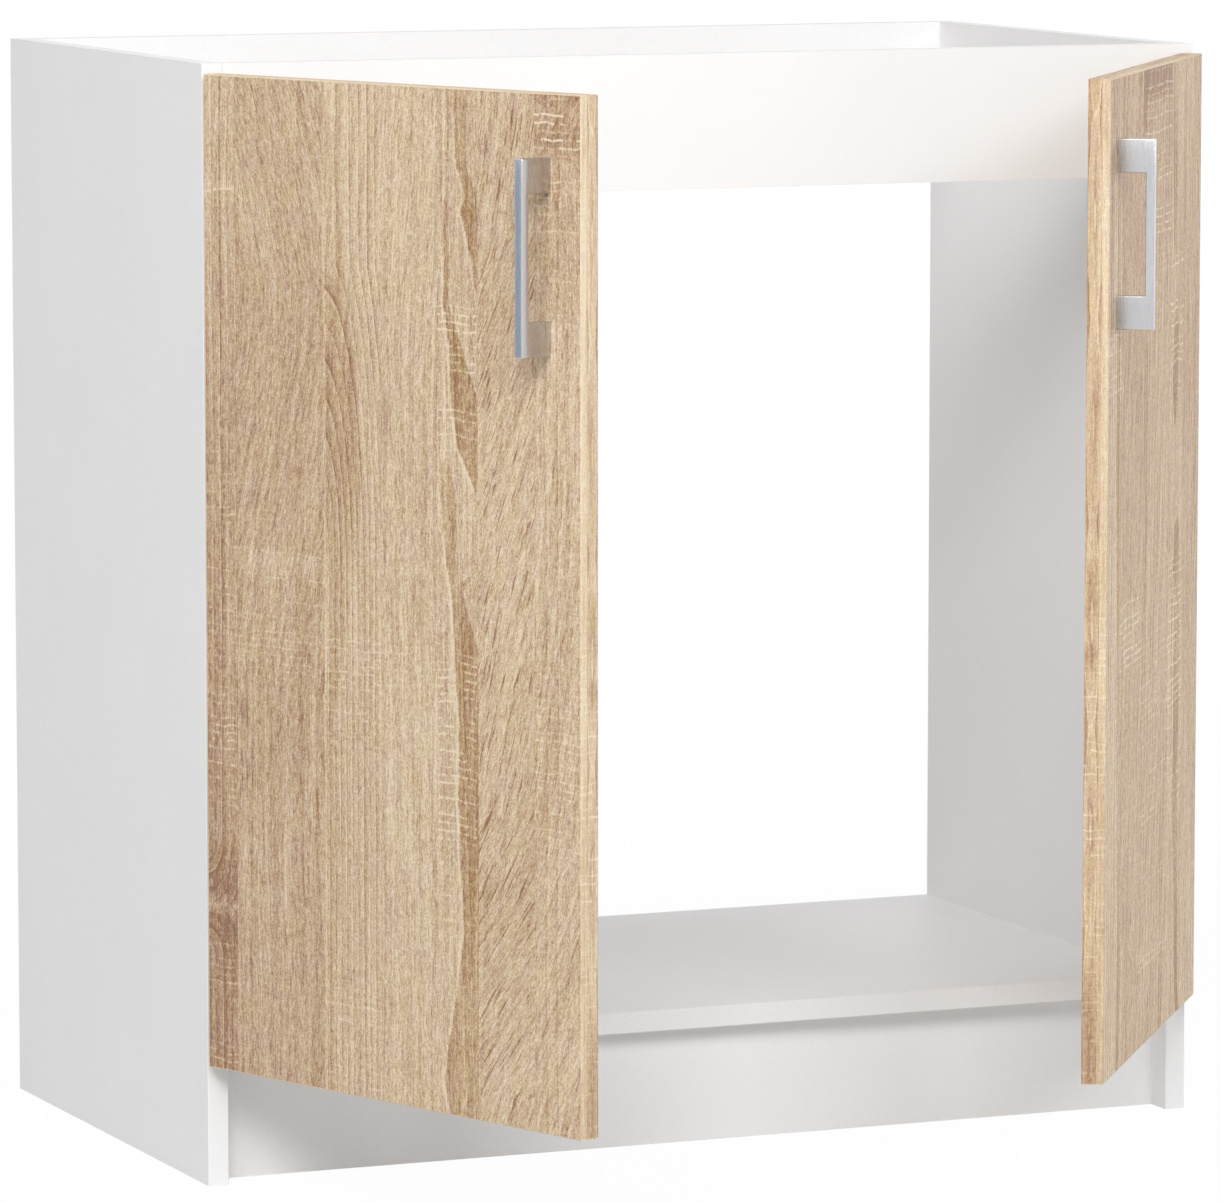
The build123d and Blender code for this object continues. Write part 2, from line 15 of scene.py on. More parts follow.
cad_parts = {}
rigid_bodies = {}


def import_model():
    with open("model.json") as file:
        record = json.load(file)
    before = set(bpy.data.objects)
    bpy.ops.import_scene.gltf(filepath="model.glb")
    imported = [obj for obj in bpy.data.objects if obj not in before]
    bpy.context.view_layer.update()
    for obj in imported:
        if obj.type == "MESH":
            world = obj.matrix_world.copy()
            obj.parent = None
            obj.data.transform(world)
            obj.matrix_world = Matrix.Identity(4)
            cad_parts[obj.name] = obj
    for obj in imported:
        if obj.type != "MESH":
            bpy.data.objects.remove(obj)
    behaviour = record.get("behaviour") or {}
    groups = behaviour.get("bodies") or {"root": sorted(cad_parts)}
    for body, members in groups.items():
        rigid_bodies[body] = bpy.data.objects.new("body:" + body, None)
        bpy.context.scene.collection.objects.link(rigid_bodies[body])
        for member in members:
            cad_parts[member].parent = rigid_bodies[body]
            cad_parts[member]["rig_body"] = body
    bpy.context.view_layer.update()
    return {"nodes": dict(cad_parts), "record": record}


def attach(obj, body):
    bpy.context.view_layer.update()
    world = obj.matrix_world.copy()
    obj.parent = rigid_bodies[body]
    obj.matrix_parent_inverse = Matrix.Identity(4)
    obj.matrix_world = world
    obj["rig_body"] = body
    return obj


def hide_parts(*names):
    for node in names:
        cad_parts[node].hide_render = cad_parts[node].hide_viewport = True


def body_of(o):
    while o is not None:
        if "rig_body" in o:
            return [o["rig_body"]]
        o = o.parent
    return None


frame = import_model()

MM = 0.001
scene = bpy.context.scene
nodes = frame["nodes"]

# %% [markdown]
# ## Sizes that several cells share
# The doors stand open, so a pattern or a piece that belongs to a door needs the door's own
# directions. Each door gets a corner to measure from and a turn about Z. Seen from outside,
# its first direction runs from left to right over the face and its second one inwards.

# %% Door frames
BOARD, DOOR_TOP = 16.0, 813.0
SIDE_INNER = 384.0
FRONT_Y = -32.0
TURN = (-7.61, 10.96)  # turning axis, measured from the side panel's front corner
OPENED = {"left": 69.7, "right": 53.3}


def hinge_point(side, x, y, z):
    """A point of an opened door, given for the closed door, in frame metres."""
    sign = -1 if side == "left" else 1
    angle = math.radians(OPENED[side])
    dx, dy = x - TURN[0], y - TURN[1]
    hx = TURN[0] + dx * math.cos(angle) - dy * math.sin(angle)
    hy = TURN[1] + dx * math.sin(angle) + dy * math.cos(angle)
    return Vector((sign * (SIDE_INNER - hx), FRONT_Y - hy, z)) * MM


HINGE_EDGE, FREE_EDGE, DOOR_GAP = -14.5, 382.5, 3.0
OUTSIDE = DOOR_GAP + BOARD
door_corner = {"left": hinge_point("left", HINGE_EDGE, OUTSIDE, DOOR_TOP),
               "right": hinge_point("right", FREE_EDGE, OUTSIDE, DOOR_TOP)}
door_turn = {"left": -math.radians(OPENED["left"]), "right": math.radians(OPENED["right"])}
print("door corners", door_corner)

# %% [markdown]
# ## Camera
# A product picture like this is taken from far away with a long lens, so the upright edges
# stay nearly parallel. The place, the turn and the focal length below were solved from the
# corners of the carcass; nothing is shifted or blurred.

# %% Camera
camera_data = bpy.data.cameras.new("camera")
camera_data.sensor_width = 36.0
camera_data.lens = 227.46
camera_data.clip_end = 50.0
camera = bpy.data.objects.new("camera", camera_data)
scene.collection.objects.link(camera)
camera.location = (-2.2976, -5.2536, 1.0928)
camera.rotation_euler = (math.radians(90 - 6.802), 0, -math.radians(23.001))
scene.camera = camera
scene.view_settings.view_transform = "Standard"
print("camera at", camera.location[:], "with", camera_data.lens, "mm")

# %% [markdown]
# ## Colours and nodes
# Paint charts and screens give colours as hex values, but light adds up in linear numbers,
# so one function turns one into the other. A second one adds a node of any kind, sets it up
# and links it, because a material is easier to read as a list of such lines.

# %% Helpers for materials
SMOOTH = {"interpolation_type": "SMOOTHSTEP"}  # for ranges that start and end softly


def linear(code):
    """An sRGB hex colour as linear red, green, blue, alpha."""
    parts = [int(code[i:i + 2], 16) / 255 for i in (1, 3, 5)]
    parts = [p / 12.92 if p <= 0.04045 else ((p + 0.055) / 1.055) ** 2.4 for p in parts]
    return (*parts, 1.0)


def put(tree, kind, inputs=(), operation=None, out=0, **settings):
    """Adds a node, sets it up, links or fills its inputs, and gives back one output.

    The inputs are a dictionary by name or number, or a tuple from the first one on.
    """
    node = tree.nodes.new("ShaderNode" + kind)
    if operation:
        settings["operation"] = operation
    for key, value in settings.items():
        setattr(node, key, value)
    for key, value in inputs.items() if isinstance(inputs, dict) else enumerate(inputs):
        if isinstance(value, bpy.types.NodeSocket):
            tree.links.new(value, node.inputs[key])
        else:
            node.inputs[key].default_value = value
    return node.outputs[out] if len(node.outputs) else node


def new_material(name):
    """An empty node material and its node tree."""
    material = bpy.data.materials.new(name)
    material.use_nodes = True
    material.node_tree.nodes.clear()
    return material, material.node_tree


def rays_seen(tree):
    """1 for rays that come straight from the camera, in a reflection or through glass."""
    rays = put(tree, "LightPath").node.outputs
    seen = put(tree, "Math", (rays["Is Camera Ray"], rays["Is Glossy Ray"]), "MAXIMUM")
    return put(tree, "Math", (seen, rays["Is Transmission Ray"]), "MAXIMUM")


print("white is", linear("#FFFFFF"))

# %% [markdown]
# ## Floor, backdrop and light
# The cabinet stands in plain white with hardly a shadow. The floor is real, so it carries
# a soft shadow and sends light back up, but to the camera it is mostly an even white glow.
# The world does the same. Both do it only for rays that see them straight, in a reflection
# or through glass, so the cabinet itself isn't lit more by it.

# %% Floor
FLOOR_SIZE, FLOOR_BELOW = 40.0, 0.2 * MM  # just below the feet, so that no faces coincide
SHADOW_FROM, SHADOW_TO = 0.9, 2.6  # metres from the middle where its shadow fades
bpy.ops.object.select_all(action="DESELECT")
bpy.ops.mesh.primitive_plane_add(size=FLOOR_SIZE, location=(0, 0, -FLOOR_BELOW))
floor = bpy.context.object
floor.name = "floor"

floor_paint, tree = new_material("matt white studio floor")
reach = put(tree, "VectorMath", (put(tree, "TexCoord", out=3),), "LENGTH", out=1)
share = put(tree, "MapRange", {"Value": reach, "From Min": SHADOW_FROM,
                               "From Max": SHADOW_TO, "To Min": 0.96, "To Max": 1.0}, **SMOOTH)
glow_share = put(tree, "Math", (rays_seen(tree), share), "MULTIPLY")
matt = put(tree, "BsdfDiffuse", {"Color": linear("#D8D8D8")})
glow = put(tree, "Emission", {"Color": linear("#FFFFFF"), "Strength": 1.01})
put(tree, "OutputMaterial", {"Surface": put(tree, "MixShader", (glow_share, matt, glow))})
floor.data.materials.append(floor_paint)
print("floor", FLOOR_SIZE, "m wide")

# %% World
world = bpy.data.worlds.new("white studio")
scene.world = world
world.use_nodes = True
tree = world.node_tree
tree.nodes.clear()
AMBIENT = 0.4
strength = put(tree, "MapRange", {"Value": rays_seen(tree), "To Min": AMBIENT,
                                  "To Max": 1.0})
sky = put(tree, "Background", {"Color": (1, 1, 1, 1), "Strength": strength})
put(tree, "OutputWorld", {"Surface": sky})
print("ambient light", AMBIENT, "from all round")

# %% [markdown]
# ## Lamps
# Four soft boxes. Two stand high in front and to the left, so the rail and the board edges
# are the brightest faces and the left door shades the plinth behind it. A weaker one in
# front, on the other side, reaches into the carcass. The last stands far out on the right
# and lights the right door, which turns its face away from the others. The white
# surroundings do the rest, as a white cove does in a studio.

# %% Lamps
PLAIN = (1.0, 1.0, 1.0)
COOL = (0.965, 0.99, 1.0)  # makes up for the warm light the doors throw back
BOX_WIDTH, BOX_HEIGHT = 2.7, 2.2
AIM = Vector((0, 0, 0.45))  # about the middle of the cabinet


def soft_box(name, place, power, colour):
    """A rectangular lamp that looks at the cabinet; its power is in watts."""
    lamp_data = bpy.data.lights.new(name, "AREA")
    lamp_data.color = colour
    lamp_data.shape = "RECTANGLE"
    lamp_data.size, lamp_data.size_y = BOX_WIDTH, BOX_HEIGHT
    lamp_data.energy = power
    lamp = bpy.data.objects.new(name, lamp_data)
    scene.collection.objects.link(lamp)
    lamp.location = place
    lamp.rotation_euler = (AIM - Vector(place)).to_track_quat("-Z", "Y").to_euler()
    lamp.visible_camera = False


soft_box("key soft box", (-2.2, -5.3, 4.4), 208, COOL)
soft_box("left soft box", (-3.9, -3.3, 4.3), 113, PLAIN)
soft_box("front soft box", (1.1, -6.9, 4.1), 131, COOL)
soft_box("right soft box", (6.9, 0.6, 1.9), 128, PLAIN)

# %% [markdown]
# ## A card for the handle
# A bare metal bar in white surroundings looks like white plastic. A photographer stands a
# grey-blue card where the metal mirrors it. This one is seen by reflections alone, so it
# throws no shadow and dims nothing.

# %% Card for the handle
CARD_SIZE, CARD_OFF = 1.0, 1.6  # metres
BY_HANDLE = (348, -27, 690)  # on the closed left door, in mm
MIRRORED = Vector((-0.895, 0.445, -0.12))  # where the handle's front face looks to
bpy.ops.object.select_all(action="DESELECT")
spot = hinge_point("left", *BY_HANDLE) + MIRRORED * CARD_OFF
bpy.ops.mesh.primitive_plane_add(size=CARD_SIZE, location=spot,
                                 rotation=MIRRORED.to_track_quat("Z", "Y").to_euler())
card = bpy.context.object
card.name = "handle card"
card_paint, tree = new_material("grey-blue card")
card_glow = put(tree, "Emission", {"Color": linear("#B2BDCB"), "Strength": 1.0})
put(tree, "OutputMaterial", {"Surface": card_glow})
card.data.materials.append(card_paint)
card.visible_camera = card.visible_diffuse = card.visible_shadow = False
card.visible_transmission = False
print("card at", spot)

# %% [markdown]
# ## White melamine
# The carcass is particleboard faced with white melamine paper, pressed against a plate with
# a fine pearl texture. To the eye it is a slightly warm white with a dull, even sheen, and
# in raking light a fine grain. The grain is about half a millimetre on the real board; here
# it is drawn a little coarser so that it shows. Board edges that no band covers show the
# particleboard itself: the back edges and what stands on the floor.

# %% White melamine
PEARL, CLOUD, CHIP = 1.1 * MM, 90 * MM, 2.4 * MM  # sizes of grain, patches and wood chips
CARCASS_BACK = 398 * MM
NEAR = 0.05 * MM  # a face this near a plane lies in it


def melamine(name, colour, rough, raw_edges=False):
    """White paper on particleboard, which shows at the back and on the floor if wanted."""
    material, tree = new_material(name)
    place = put(tree, "TexCoord", out=3)
    pearl = put(tree, "TexNoise", {"Vector": place, "Scale": 1 / PEARL, "Detail": 2.0,
                                   "Roughness": 0.6})
    cloud = put(tree, "TexNoise", {"Vector": place, "Scale": 1 / CLOUD, "Detail": 2.0})
    fleck = put(tree, "MapRange", (pearl, 0.25, 0.75, 0.965, 1.035))
    wash = put(tree, "MapRange", (cloud, 0.3, 0.7, 0.992, 1.008))
    tone = put(tree, "Math", (fleck, wash), "MULTIPLY")
    paper = put(tree, "VectorMath", {0: linear(colour)[:3], "Scale": tone}, "SCALE")
    bump = put(tree, "Bump", {"Height": pearl, "Strength": 0.15, "Distance": 0.05 * MM})
    if raw_edges:
        _, depth, height = put(tree, "SeparateXYZ", {"Vector": place}).node.outputs
        at_back = put(tree, "Math", (depth, CARCASS_BACK - NEAR), "GREATER_THAN")
        at_floor = put(tree, "Math", (height, NEAR), "LESS_THAN")
        bare = put(tree, "Math", (at_back, at_floor), "MAXIMUM")
        chip = put(tree, "TexVoronoi", {"Vector": place, "Scale": 1 / CHIP}, out=1)
        shade = put(tree, "SeparateColor", {"Color": chip})
        wood = put(tree, "Mix", {0: shade, 6: linear("#A8835A"), 7: linear("#D9BE93")},
                   data_type="RGBA", out=2)
        paper = put(tree, "Mix", {0: bare, 6: paper, 7: wood}, data_type="RGBA", out=2)
    skin = put(tree, "BsdfPrincipled", {"Base Color": paper, "Roughness": rough,
                                        "Normal": bump})
    put(tree, "OutputMaterial", {"Surface": skin})
    return material


MELAMINE = "#F0EFEF"
white_board = melamine("white melamine, pearl texture", MELAMINE, 0.45)
white_raw = melamine("white melamine, bare chipboard edges", MELAMINE, 0.45, True)
white_edge = melamine("white melamine edge band", "#EDECEC", 0.42)
print("melamine", [m.name for m in (white_board, white_raw, white_edge)])

# %% [markdown]
# ## Sawn oak decor
# The doors are faced with a printed and embossed paper that copies planks of pale oak laid
# side by side. Five things make it read as sawn oak: strips of different tone and ring
# pattern, short strokes of the pores that lean with the grain, rings that arch where a
# plank was cut near the heart, dark flames with a pale rim where the saw ran out of the
# rings, and pale marks across the grain where the blade caught the wood.
#
# A table gives each strip where it starts, how its rings run, and how tone, saw marks and
# the lean of its pores change down the door. A colour ramp with constant steps looks up the
# strip's numbers from the place across the door, so one set of nodes draws all of them.

# %% Plank tables
# Each strip: left edge; ring centre, how fast the rings arch, height where they arch most,
# reach of the arch and how much of it is flat; ring spacing, tilt and strength; strength of
# the pores; then rows of (height from the top, tone, saw marks, lean of the pores in mm
# across per mm down). Lengths are in millimetres.
LEFT_PLANKS = [
    (0, (-2, 0.85, 600, 42, 42), (8.5, 0.0, 0.7), 0.25,
     [(0, .35, .05, .05), (75, .41, .1, .05), (80, .23, .8, 0), (92, .41, .2, 0),
      (200, .48, 0, -.05), (320, .53, .5, 0), (380, .55, .5, 0), (400, .55, .2, 0),
      (445, .55, .6, 0), (500, .58, .6, 0), (545, .63, .2, 0), (590, .89, .1, .2),
      (603, .59, .3, 0), (612, .89, .1, .2), (640, .73, .5, .1), (690, .72, .6, 0),
      (723, .74, .6, 0)]),
    (33, (-60, 0.05, 100, 400, 400), (23, 0.02, 0.15), 0.45,
     [(0, .42, 0, -.1), (90, .41, 0, -.35), (150, .46, 0, -.25), (190, .46, 0, .1),
      (260, .47, 0, .3), (335, .45, .1, .3), (345, .29, .4, .3), (362, .49, .3, .25),
      (400, .47, .3, .2), (440, .49, .1, .1), (470, .47, 0, 0), (560, .43, 0, 0),
      (650, .48, .1, -.05), (723, .5, .1, 0)]),
    (130, (127, 0.235, 0, 335, 205), (6.2, 0.0, 0.9), 0.25,
     [(0, .23, 0, 0), (100, .26, 0, .1), (200, .39, 0, .1), (330, .32, 0, .02),
      (385, .34, .1, 0), (395, .32, .4, 0), (460, .34, .3, 0), (475, .31, 0, 0),
      (640, .33, .05, 0), (655, .32, .5, 0), (705, .32, .5, 0), (723, .34, .2, 0)]),
    (190, (90, 0.03, 300, 300, 300), (13, 0.01, 0.2), 0.35,
     [(0, .3, 0, .02), (120, .29, 0, .12), (200, .33, 0, .1), (240, .35, 0, 0),
      (330, .29, 0, 0), (420, .27, .15, 0), (470, .27, 0, 0), (560, .28, 0, 0),
      (723, .32, .05, 0)]),
    (250, (240, 0.0, 0, 0, 0), (9, -0.04, 0.3), 0.2,
     [(0, .39, 0, 0), (60, .38, .1, 0), (140, .39, .1, 0), (160, .39, .9, 0), (215, .27, .9, 0),
      (235, .25, .5, 0), (290, .28, .1, 0), (390, .32, .1, 0), (398, .3, .85, 0),
      (470, .32, .8, 0), (530, .32, .6, 0), (600, .31, .15, 0), (700, .28, .05, 0),
      (723, .34, .1, 0)]),
    (291, (250, 0.04, 200, 500, 500), (15, 0.05, 0.15), 1.0,
     [(0, .38, 0, .05), (100, .37, 0, .2), (150, .4, 0, .5), (220, .35, 0, .5),
      (300, .26, 0, .45), (420, .34, 0, .35), (500, .4, 0, .3), (560, .4, 0, .6),
      (640, .34, 0, .8), (700, .32, 0, .75), (723, .34, 0, .4)]),
    (350, (420, 0.12, 60, 120, 120), (11, 0.0, 0.4), 0.5,
     [(0, .73, .3, .8), (8, .53, .5, .8), (14, .53, 1.5, .8), (20, .6, 1.5, .6),
      (26, .62, .3, .5), (29, .65, 1.7, .4), (34, .64, 1.7, .2), (40, .52, .1, -.2),
      (60, .44, .5, -.2), (110, .43, .35, 0), (150, .41, .2, 0), (200, .34, .1, .1),
      (330, .3, .1, .1), (400, .34, .2, .2), (455, .34, .45, .2), (480, .34, .45, .2),
      (520, .33, .3, .2), (560, .35, 0, .4), (650, .33, .1, .5), (660, .28, .9, .5),
      (670, .34, 0, .5), (723, .36, 0, .4)]),
]
RIGHT_PLANKS = [
    (0, (-30, 0.03, 300, 300, 300), (9, 0.0, 0.8), 0.4,
     [(0, .56, 0, 0), (130, .36, .1, 0), (170, .36, .5, 0), (225, .37, .6, 0), (240, .4, 0, 0),
      (400, .34, 0, 0), (520, .29, .2, 0), (723, .33, 0, 0)]),
    (55, (0, 0.08, 300, 300, 300), (17, 0.02, 0.3), 0.6,
     [(0, .58, 0, .1), (200, .54, 0, .2), (380, .51, .1, .2), (388, .43, .9, .1),
      (425, .44, .8, 0), (440, .48, 0, 0), (600, .49, .1, .2), (723, .47, 0, .2)]),
    (147, (300, 0.1, 60, 200, 200), (12, 0.0, 0.5), 0.5,
     [(0, .89, 1, .5), (20, .82, 1, .5), (30, .54, .3, .2), (50, .56, .9, .2),
      (120, .56, .8, 0), (150, .5, .2, 0), (300, .46, 0, .1), (440, .46, .3, .1),
      (500, .45, .5, .1), (640, .44, .1, .4), (655, .38, 1, .4), (670, .44, 0, .4),
      (723, .46, 0, .3)]),
    (265, (250, 0.0, 0, 0, 0), (9, -0.04, 0.3), 0.3,
     [(0, .42, 0, 0), (60, .49, .1, 0), (140, .54, .1, 0), (155, .53, 1, 0), (230, .53, 1, 0),
      (255, .49, .1, 0), (275, .43, .1, 0), (345, .4, 0, 0), (360, .44, 0, 0), (390, .46, 1, 0),
      (480, .41, 1, 0), (530, .42, .5, 0), (690, .42, .1, 0), (723, .46, .1, 0)]),
    (322, (430, 0.2, 200, 400, 400), (9, 0.0, 0.5), 0.5,
     [(0, .48, 0, 0), (250, .53, 0, 0), (450, .46, .1, 0), (723, .35, 0, 0)]),
]
# Flames: rows of (height from the top, left side, right side, strength).
LEFT_FLAMES = [
    [(0, 258, 263, .5), (60, 259, 263, .5), (100, 257, 262, .6), (150, 256, 262, .8),
     (180, 262, 276, 1), (215, 265, 292, 1), (250, 272, 292, 1), (276, 286, 292, .9),
     (282, 291, 292, 0), (335, 291, 292, 0), (350, 262, 276, .9), (390, 268, 292, 1),
     (440, 272, 292, 1), (500, 272, 292, 1), (590, 277, 292, .9), (640, 268, 292, .8),
     (700, 256, 292, .8), (723, 262, 292, .8)],
    [(0, 268, 284, .4), (50, 270, 280, .6), (75, 280, 292, .8), (85, 275, 292, 1),
     (115, 284, 292, .8), (146, 291, 292, .6), (150, 291, 292, 0), (255, 253, 254, 0),
     (265, 253, 266, .6), (330, 258, 272, .7), (350, 262, 276, .6), (352, 262, 276, 0),
     (700, 280, 292, 0), (705, 282, 290, 1), (715, 276, 284, .9), (723, 275, 280, .6)],
    [(0, 129, 130, 0), (40, 131, 142, .3), (120, 131, 150, .4), (200, 131, 162, .5),
     (270, 131, 172, .45), (360, 131, 160, .4), (450, 131, 140, .4), (520, 131, 146, .3),
     (600, 131, 142, .4), (723, 131, 140, .4)],
]
RIGHT_FLAMES = [
    [(0, 268, 290, .4), (80, 272, 290, .8), (140, 276, 284, .7), (150, 279, 280, 0),
     (185, 279, 300, 0), (200, 278, 303, .8), (250, 278, 300, 1), (268, 284, 294, 1),
     (276, 287, 288, 0), (340, 303, 304, 0), (350, 290, 310, .9), (380, 284, 312, 1),
     (392, 288, 312, .6), (480, 290, 318, .8), (560, 288, 310, .7), (640, 300, 315, .7),
     (700, 303, 318, 1), (723, 310, 326, 1)],
    [(0, 6, 12, .3), (60, 30, 42, .5), (150, 34, 46, .8), (300, 36, 54, .8), (400, 40, 52, .8),
     (500, 44, 54, .5), (620, 52, 60, .5), (723, 46, 62, .7)],
    [(0, 138, 160, .9), (40, 138, 152, .7), (60, 140, 146, 0), (180, 148, 152, 0),
     (210, 150, 166, .6), (330, 152, 164, .5), (460, 150, 160, 0), (560, 230, 246, 0),
     (600, 232, 246, .3), (723, 234, 250, .4)],
]
# The free edges carry a narrow band of the same decor: a pale outer third, then long rings.
EDGE_PLANKS = [
    (0, (-40, 0.0, 0, 0, 0), (3.0, 0.0, 0.25), 0.3,
     [(0, .2, .1, 0), (300, .26, 0, 0), (440, .26, .4, 0), (520, .32, .4, 0),
      (723, .5, .1, 0)]),
    (5.4, (10.6, 0.06, 0, 0, 0), (4.4, 0.0, 0.6), 0.3,
     [(0, .42, .1, 0), (30, .36, 0, 0), (170, .42, 0, 0), (318, .52, 0, 0), (338, .36, .1, 0),
      (352, .5, .1, 0), (380, .52, .1, 0), (396, .36, 0, 0), (410, .52, 0, 0),
      (425, .42, .3, 0), (440, .42, .6, 0), (520, .46, .6, 0), (600, .5, .3, 0),
      (723, .66, .2, 0)]),
]
for table in (LEFT_PLANKS, RIGHT_PLANKS, EDGE_PLANKS):
    print(len(table), "strips, starting at", [strip[0] for strip in table])

# %% [markdown]
# ## The oak material
# Each kind of mark is worked out by itself, as a number from 0 to 1 at every place on the
# door, and at the end the marks are added up to one darkness, which a colour ramp turns into
# the colours of the print. A ramp also serves as a table here. It holds numbers from 0 to 1,
# so lengths go in as shares of a span and are multiplied back when they are read.

# %% Tables that nodes can read
FULL_U, FULL_V = 400.0, 723.0  # what the ramps' 0 to 1 stand for, across and down
CENTRE_SPAN, REACH_SPAN, SPACING_SPAN, LEAN_SPAN = 600.0, 800.0, 40.0, 300.0
CENTRE_FROM = -100.0  # hearts may lie this far left of the door


def fill_stops(ramp, rows, blend="LINEAR"):
    """Gives a colour ramp its stops, from (position, (r, g, b)) rows."""
    ramp.node.color_ramp.interpolation = blend
    stops = ramp.node.color_ramp.elements
    while len(stops) < len(rows):
        stops.new(0.5)
    for stop, (at, _) in zip(stops, rows):
        stop.position = at
    for stop, (_, colour) in zip(stops, rows):
        stop.color = (*colour, 1.0)
    return ramp


def strip_numbers(tree, across, planks, seed):
    """What stays the same all down a strip, and a seed of its own, as sockets by name."""
    hearts, rings, others = [], [], []
    for u, (centre, arch, mid, reach, flat), (gap, tilt, depth), pores, _ in planks:
        at = u / FULL_U
        centre = (centre - CENTRE_FROM) / CENTRE_SPAN
        hearts.append((at, (centre, arch, mid / REACH_SPAN)))
        rings.append((at, (gap / SPACING_SPAN, tilt + 0.5, depth)))
        others.append((at, (reach / REACH_SPAN, flat / REACH_SPAN, pores)))
    place = put(tree, "Math", (across, FULL_U), "DIVIDE")
    strip = {}
    for names, rows in ((("centre", "arch", "mid"), hearts), (("gap", "tilt", "depth"), rings),
                        (("reach", "flat", "pores"), others)):
        ramp = fill_stops(put(tree, "ValToRGB", {"Fac": place}), rows, "CONSTANT")
        strip.update(zip(names, put(tree, "SeparateColor", {"Color": ramp}).node.outputs))
    strip["seed"] = put(tree, "Math", (strip["centre"], 40.0, seed), "MULTIPLY_ADD")
    for name, span, start in (("centre", CENTRE_SPAN, CENTRE_FROM), ("mid", REACH_SPAN, 0.0),
                              ("reach", REACH_SPAN, 0.0), ("flat", REACH_SPAN, 0.0),
                              ("gap", SPACING_SPAN, 0.0), ("tilt", 1.0, -0.5)):
        strip[name] = put(tree, "Math", (strip[name], span, start), "MULTIPLY_ADD")
    return strip


def down_the_strip(tree, across, down, planks):
    """Tone, saw marks and lean of the pores, which change down each strip."""
    place = put(tree, "Math", (down, FULL_V), "DIVIDE")
    chosen = None
    for start, _, _, _, changes in planks:
        shift, last, rows = 0.0, 0.0, []
        for v, tone, saw, lean in changes:
            shift += lean * (v - last)
            last = v
            rows.append((v / FULL_V, (tone, saw, shift / LEAN_SPAN + 0.5)))
        ramp = fill_stops(put(tree, "ValToRGB", {"Fac": place}), rows)
        if chosen is None:
            chosen = ramp
        else:
            inside = put(tree, "Math", (across, float(start)), "GREATER_THAN")
            chosen = put(tree, "Mix", {0: inside, 6: chosen, 7: ramp}, data_type="RGBA", out=2)
    tone, saw, lean = put(tree, "SeparateColor", {"Color": chosen}).node.outputs[:3]
    lean = put(tree, "Math", (lean, 0.5), "SUBTRACT")
    return tone, saw, put(tree, "Math", (lean, LEAN_SPAN), "MULTIPLY")


print("tables reach over", FULL_U, "by", FULL_V, "mm")

# %% [markdown]
# ## Rings and flames
# The rings are drawn as a real saw would cut them: the distance to the heart of the plank,
# divided by the ring spacing, where the fraction left over runs from the dark late wood to
# the pale early wood. On the edge bands the heart comes and goes, so the rings close into
# long eyes. A flame is a dark island between a left and a right side, with a pale rim.

# %% Rings
RING_COLOURS = [(0.0, 0.3), (0.04, 0.0), (0.16, 0.0), (0.22, 1.0), (0.36, 0.6), (0.9, 0.2),
                (1.0, 0.3)]  # how dark one ring is, from one border to the next
EYE_START, EYE_HALF = 97.0, 73.0  # where the eyes on the edge bands begin, and half one


def rise_to_heart(tree, down, strip):
    """Nothing beyond the reach of the arch, then more towards its middle, in mm."""
    off_middle = put(tree, "Math", (down, strip["mid"]), "SUBTRACT")
    off_middle = put(tree, "Math", (off_middle,), "ABSOLUTE")
    rise = put(tree, "Math", (strip["reach"], off_middle), "SUBTRACT")
    rise = put(tree, "Math", (rise, 0.0), "MAXIMUM")
    return put(tree, "Math", (rise, strip["flat"]), "MINIMUM")


def ring_marks(tree, across, down, strip, drift, along_edge):
    """Late and early wood, each ring with a strength of its own."""
    from_heart = put(tree, "Math", (across, strip["centre"]), "SUBTRACT")
    if along_edge:
        rise = put(tree, "Math", (down, EYE_START), "SUBTRACT")
        rise = put(tree, "Math", (rise, EYE_HALF), "PINGPONG")
    else:
        rise = rise_to_heart(tree, down, strip)
    rise = put(tree, "Math", (rise, strip["arch"]), "MULTIPLY")
    squared = put(tree, "Math", (rise, rise), "MULTIPLY")
    squared = put(tree, "Math", (from_heart, from_heart, squared), "MULTIPLY_ADD")
    radius = put(tree, "Math", (squared,), "SQRT")
    radius = put(tree, "Math", (strip["tilt"], down, radius), "MULTIPLY_ADD")
    wobble = put(tree, "Math", (strip["gap"], 0.5), "MULTIPLY")
    radius = put(tree, "Math", (drift, wobble, radius), "MULTIPLY_ADD")
    turns = put(tree, "Math", (radius, strip["gap"]), "DIVIDE")
    part = put(tree, "Math", (turns,), "FRACT")
    count = put(tree, "Math", (turns,), "FLOOR")
    count = put(tree, "Math", (count, strip["seed"]), "ADD")
    chance = put(tree, "TexWhiteNoise", {"W": count}, noise_dimensions="1D")
    late = fill_stops(put(tree, "ValToRGB", {"Fac": part}),
                      [(at, (dark,) * 3) for at, dark in RING_COLOURS])
    late = put(tree, "Math", (late, 0.3), "SUBTRACT")
    strength = put(tree, "Math", (chance, 0.7, 0.4), "MULTIPLY_ADD")
    strength = put(tree, "Math", (strength, strip["depth"]), "MULTIPLY")
    return put(tree, "Math", (late, strength), "MULTIPLY")


print("eyes every", 2 * EYE_HALF, "mm along the edge bands")

# %% Flames
RAGGED = 7.0  # how far drift pushes a flame's sides, in mm


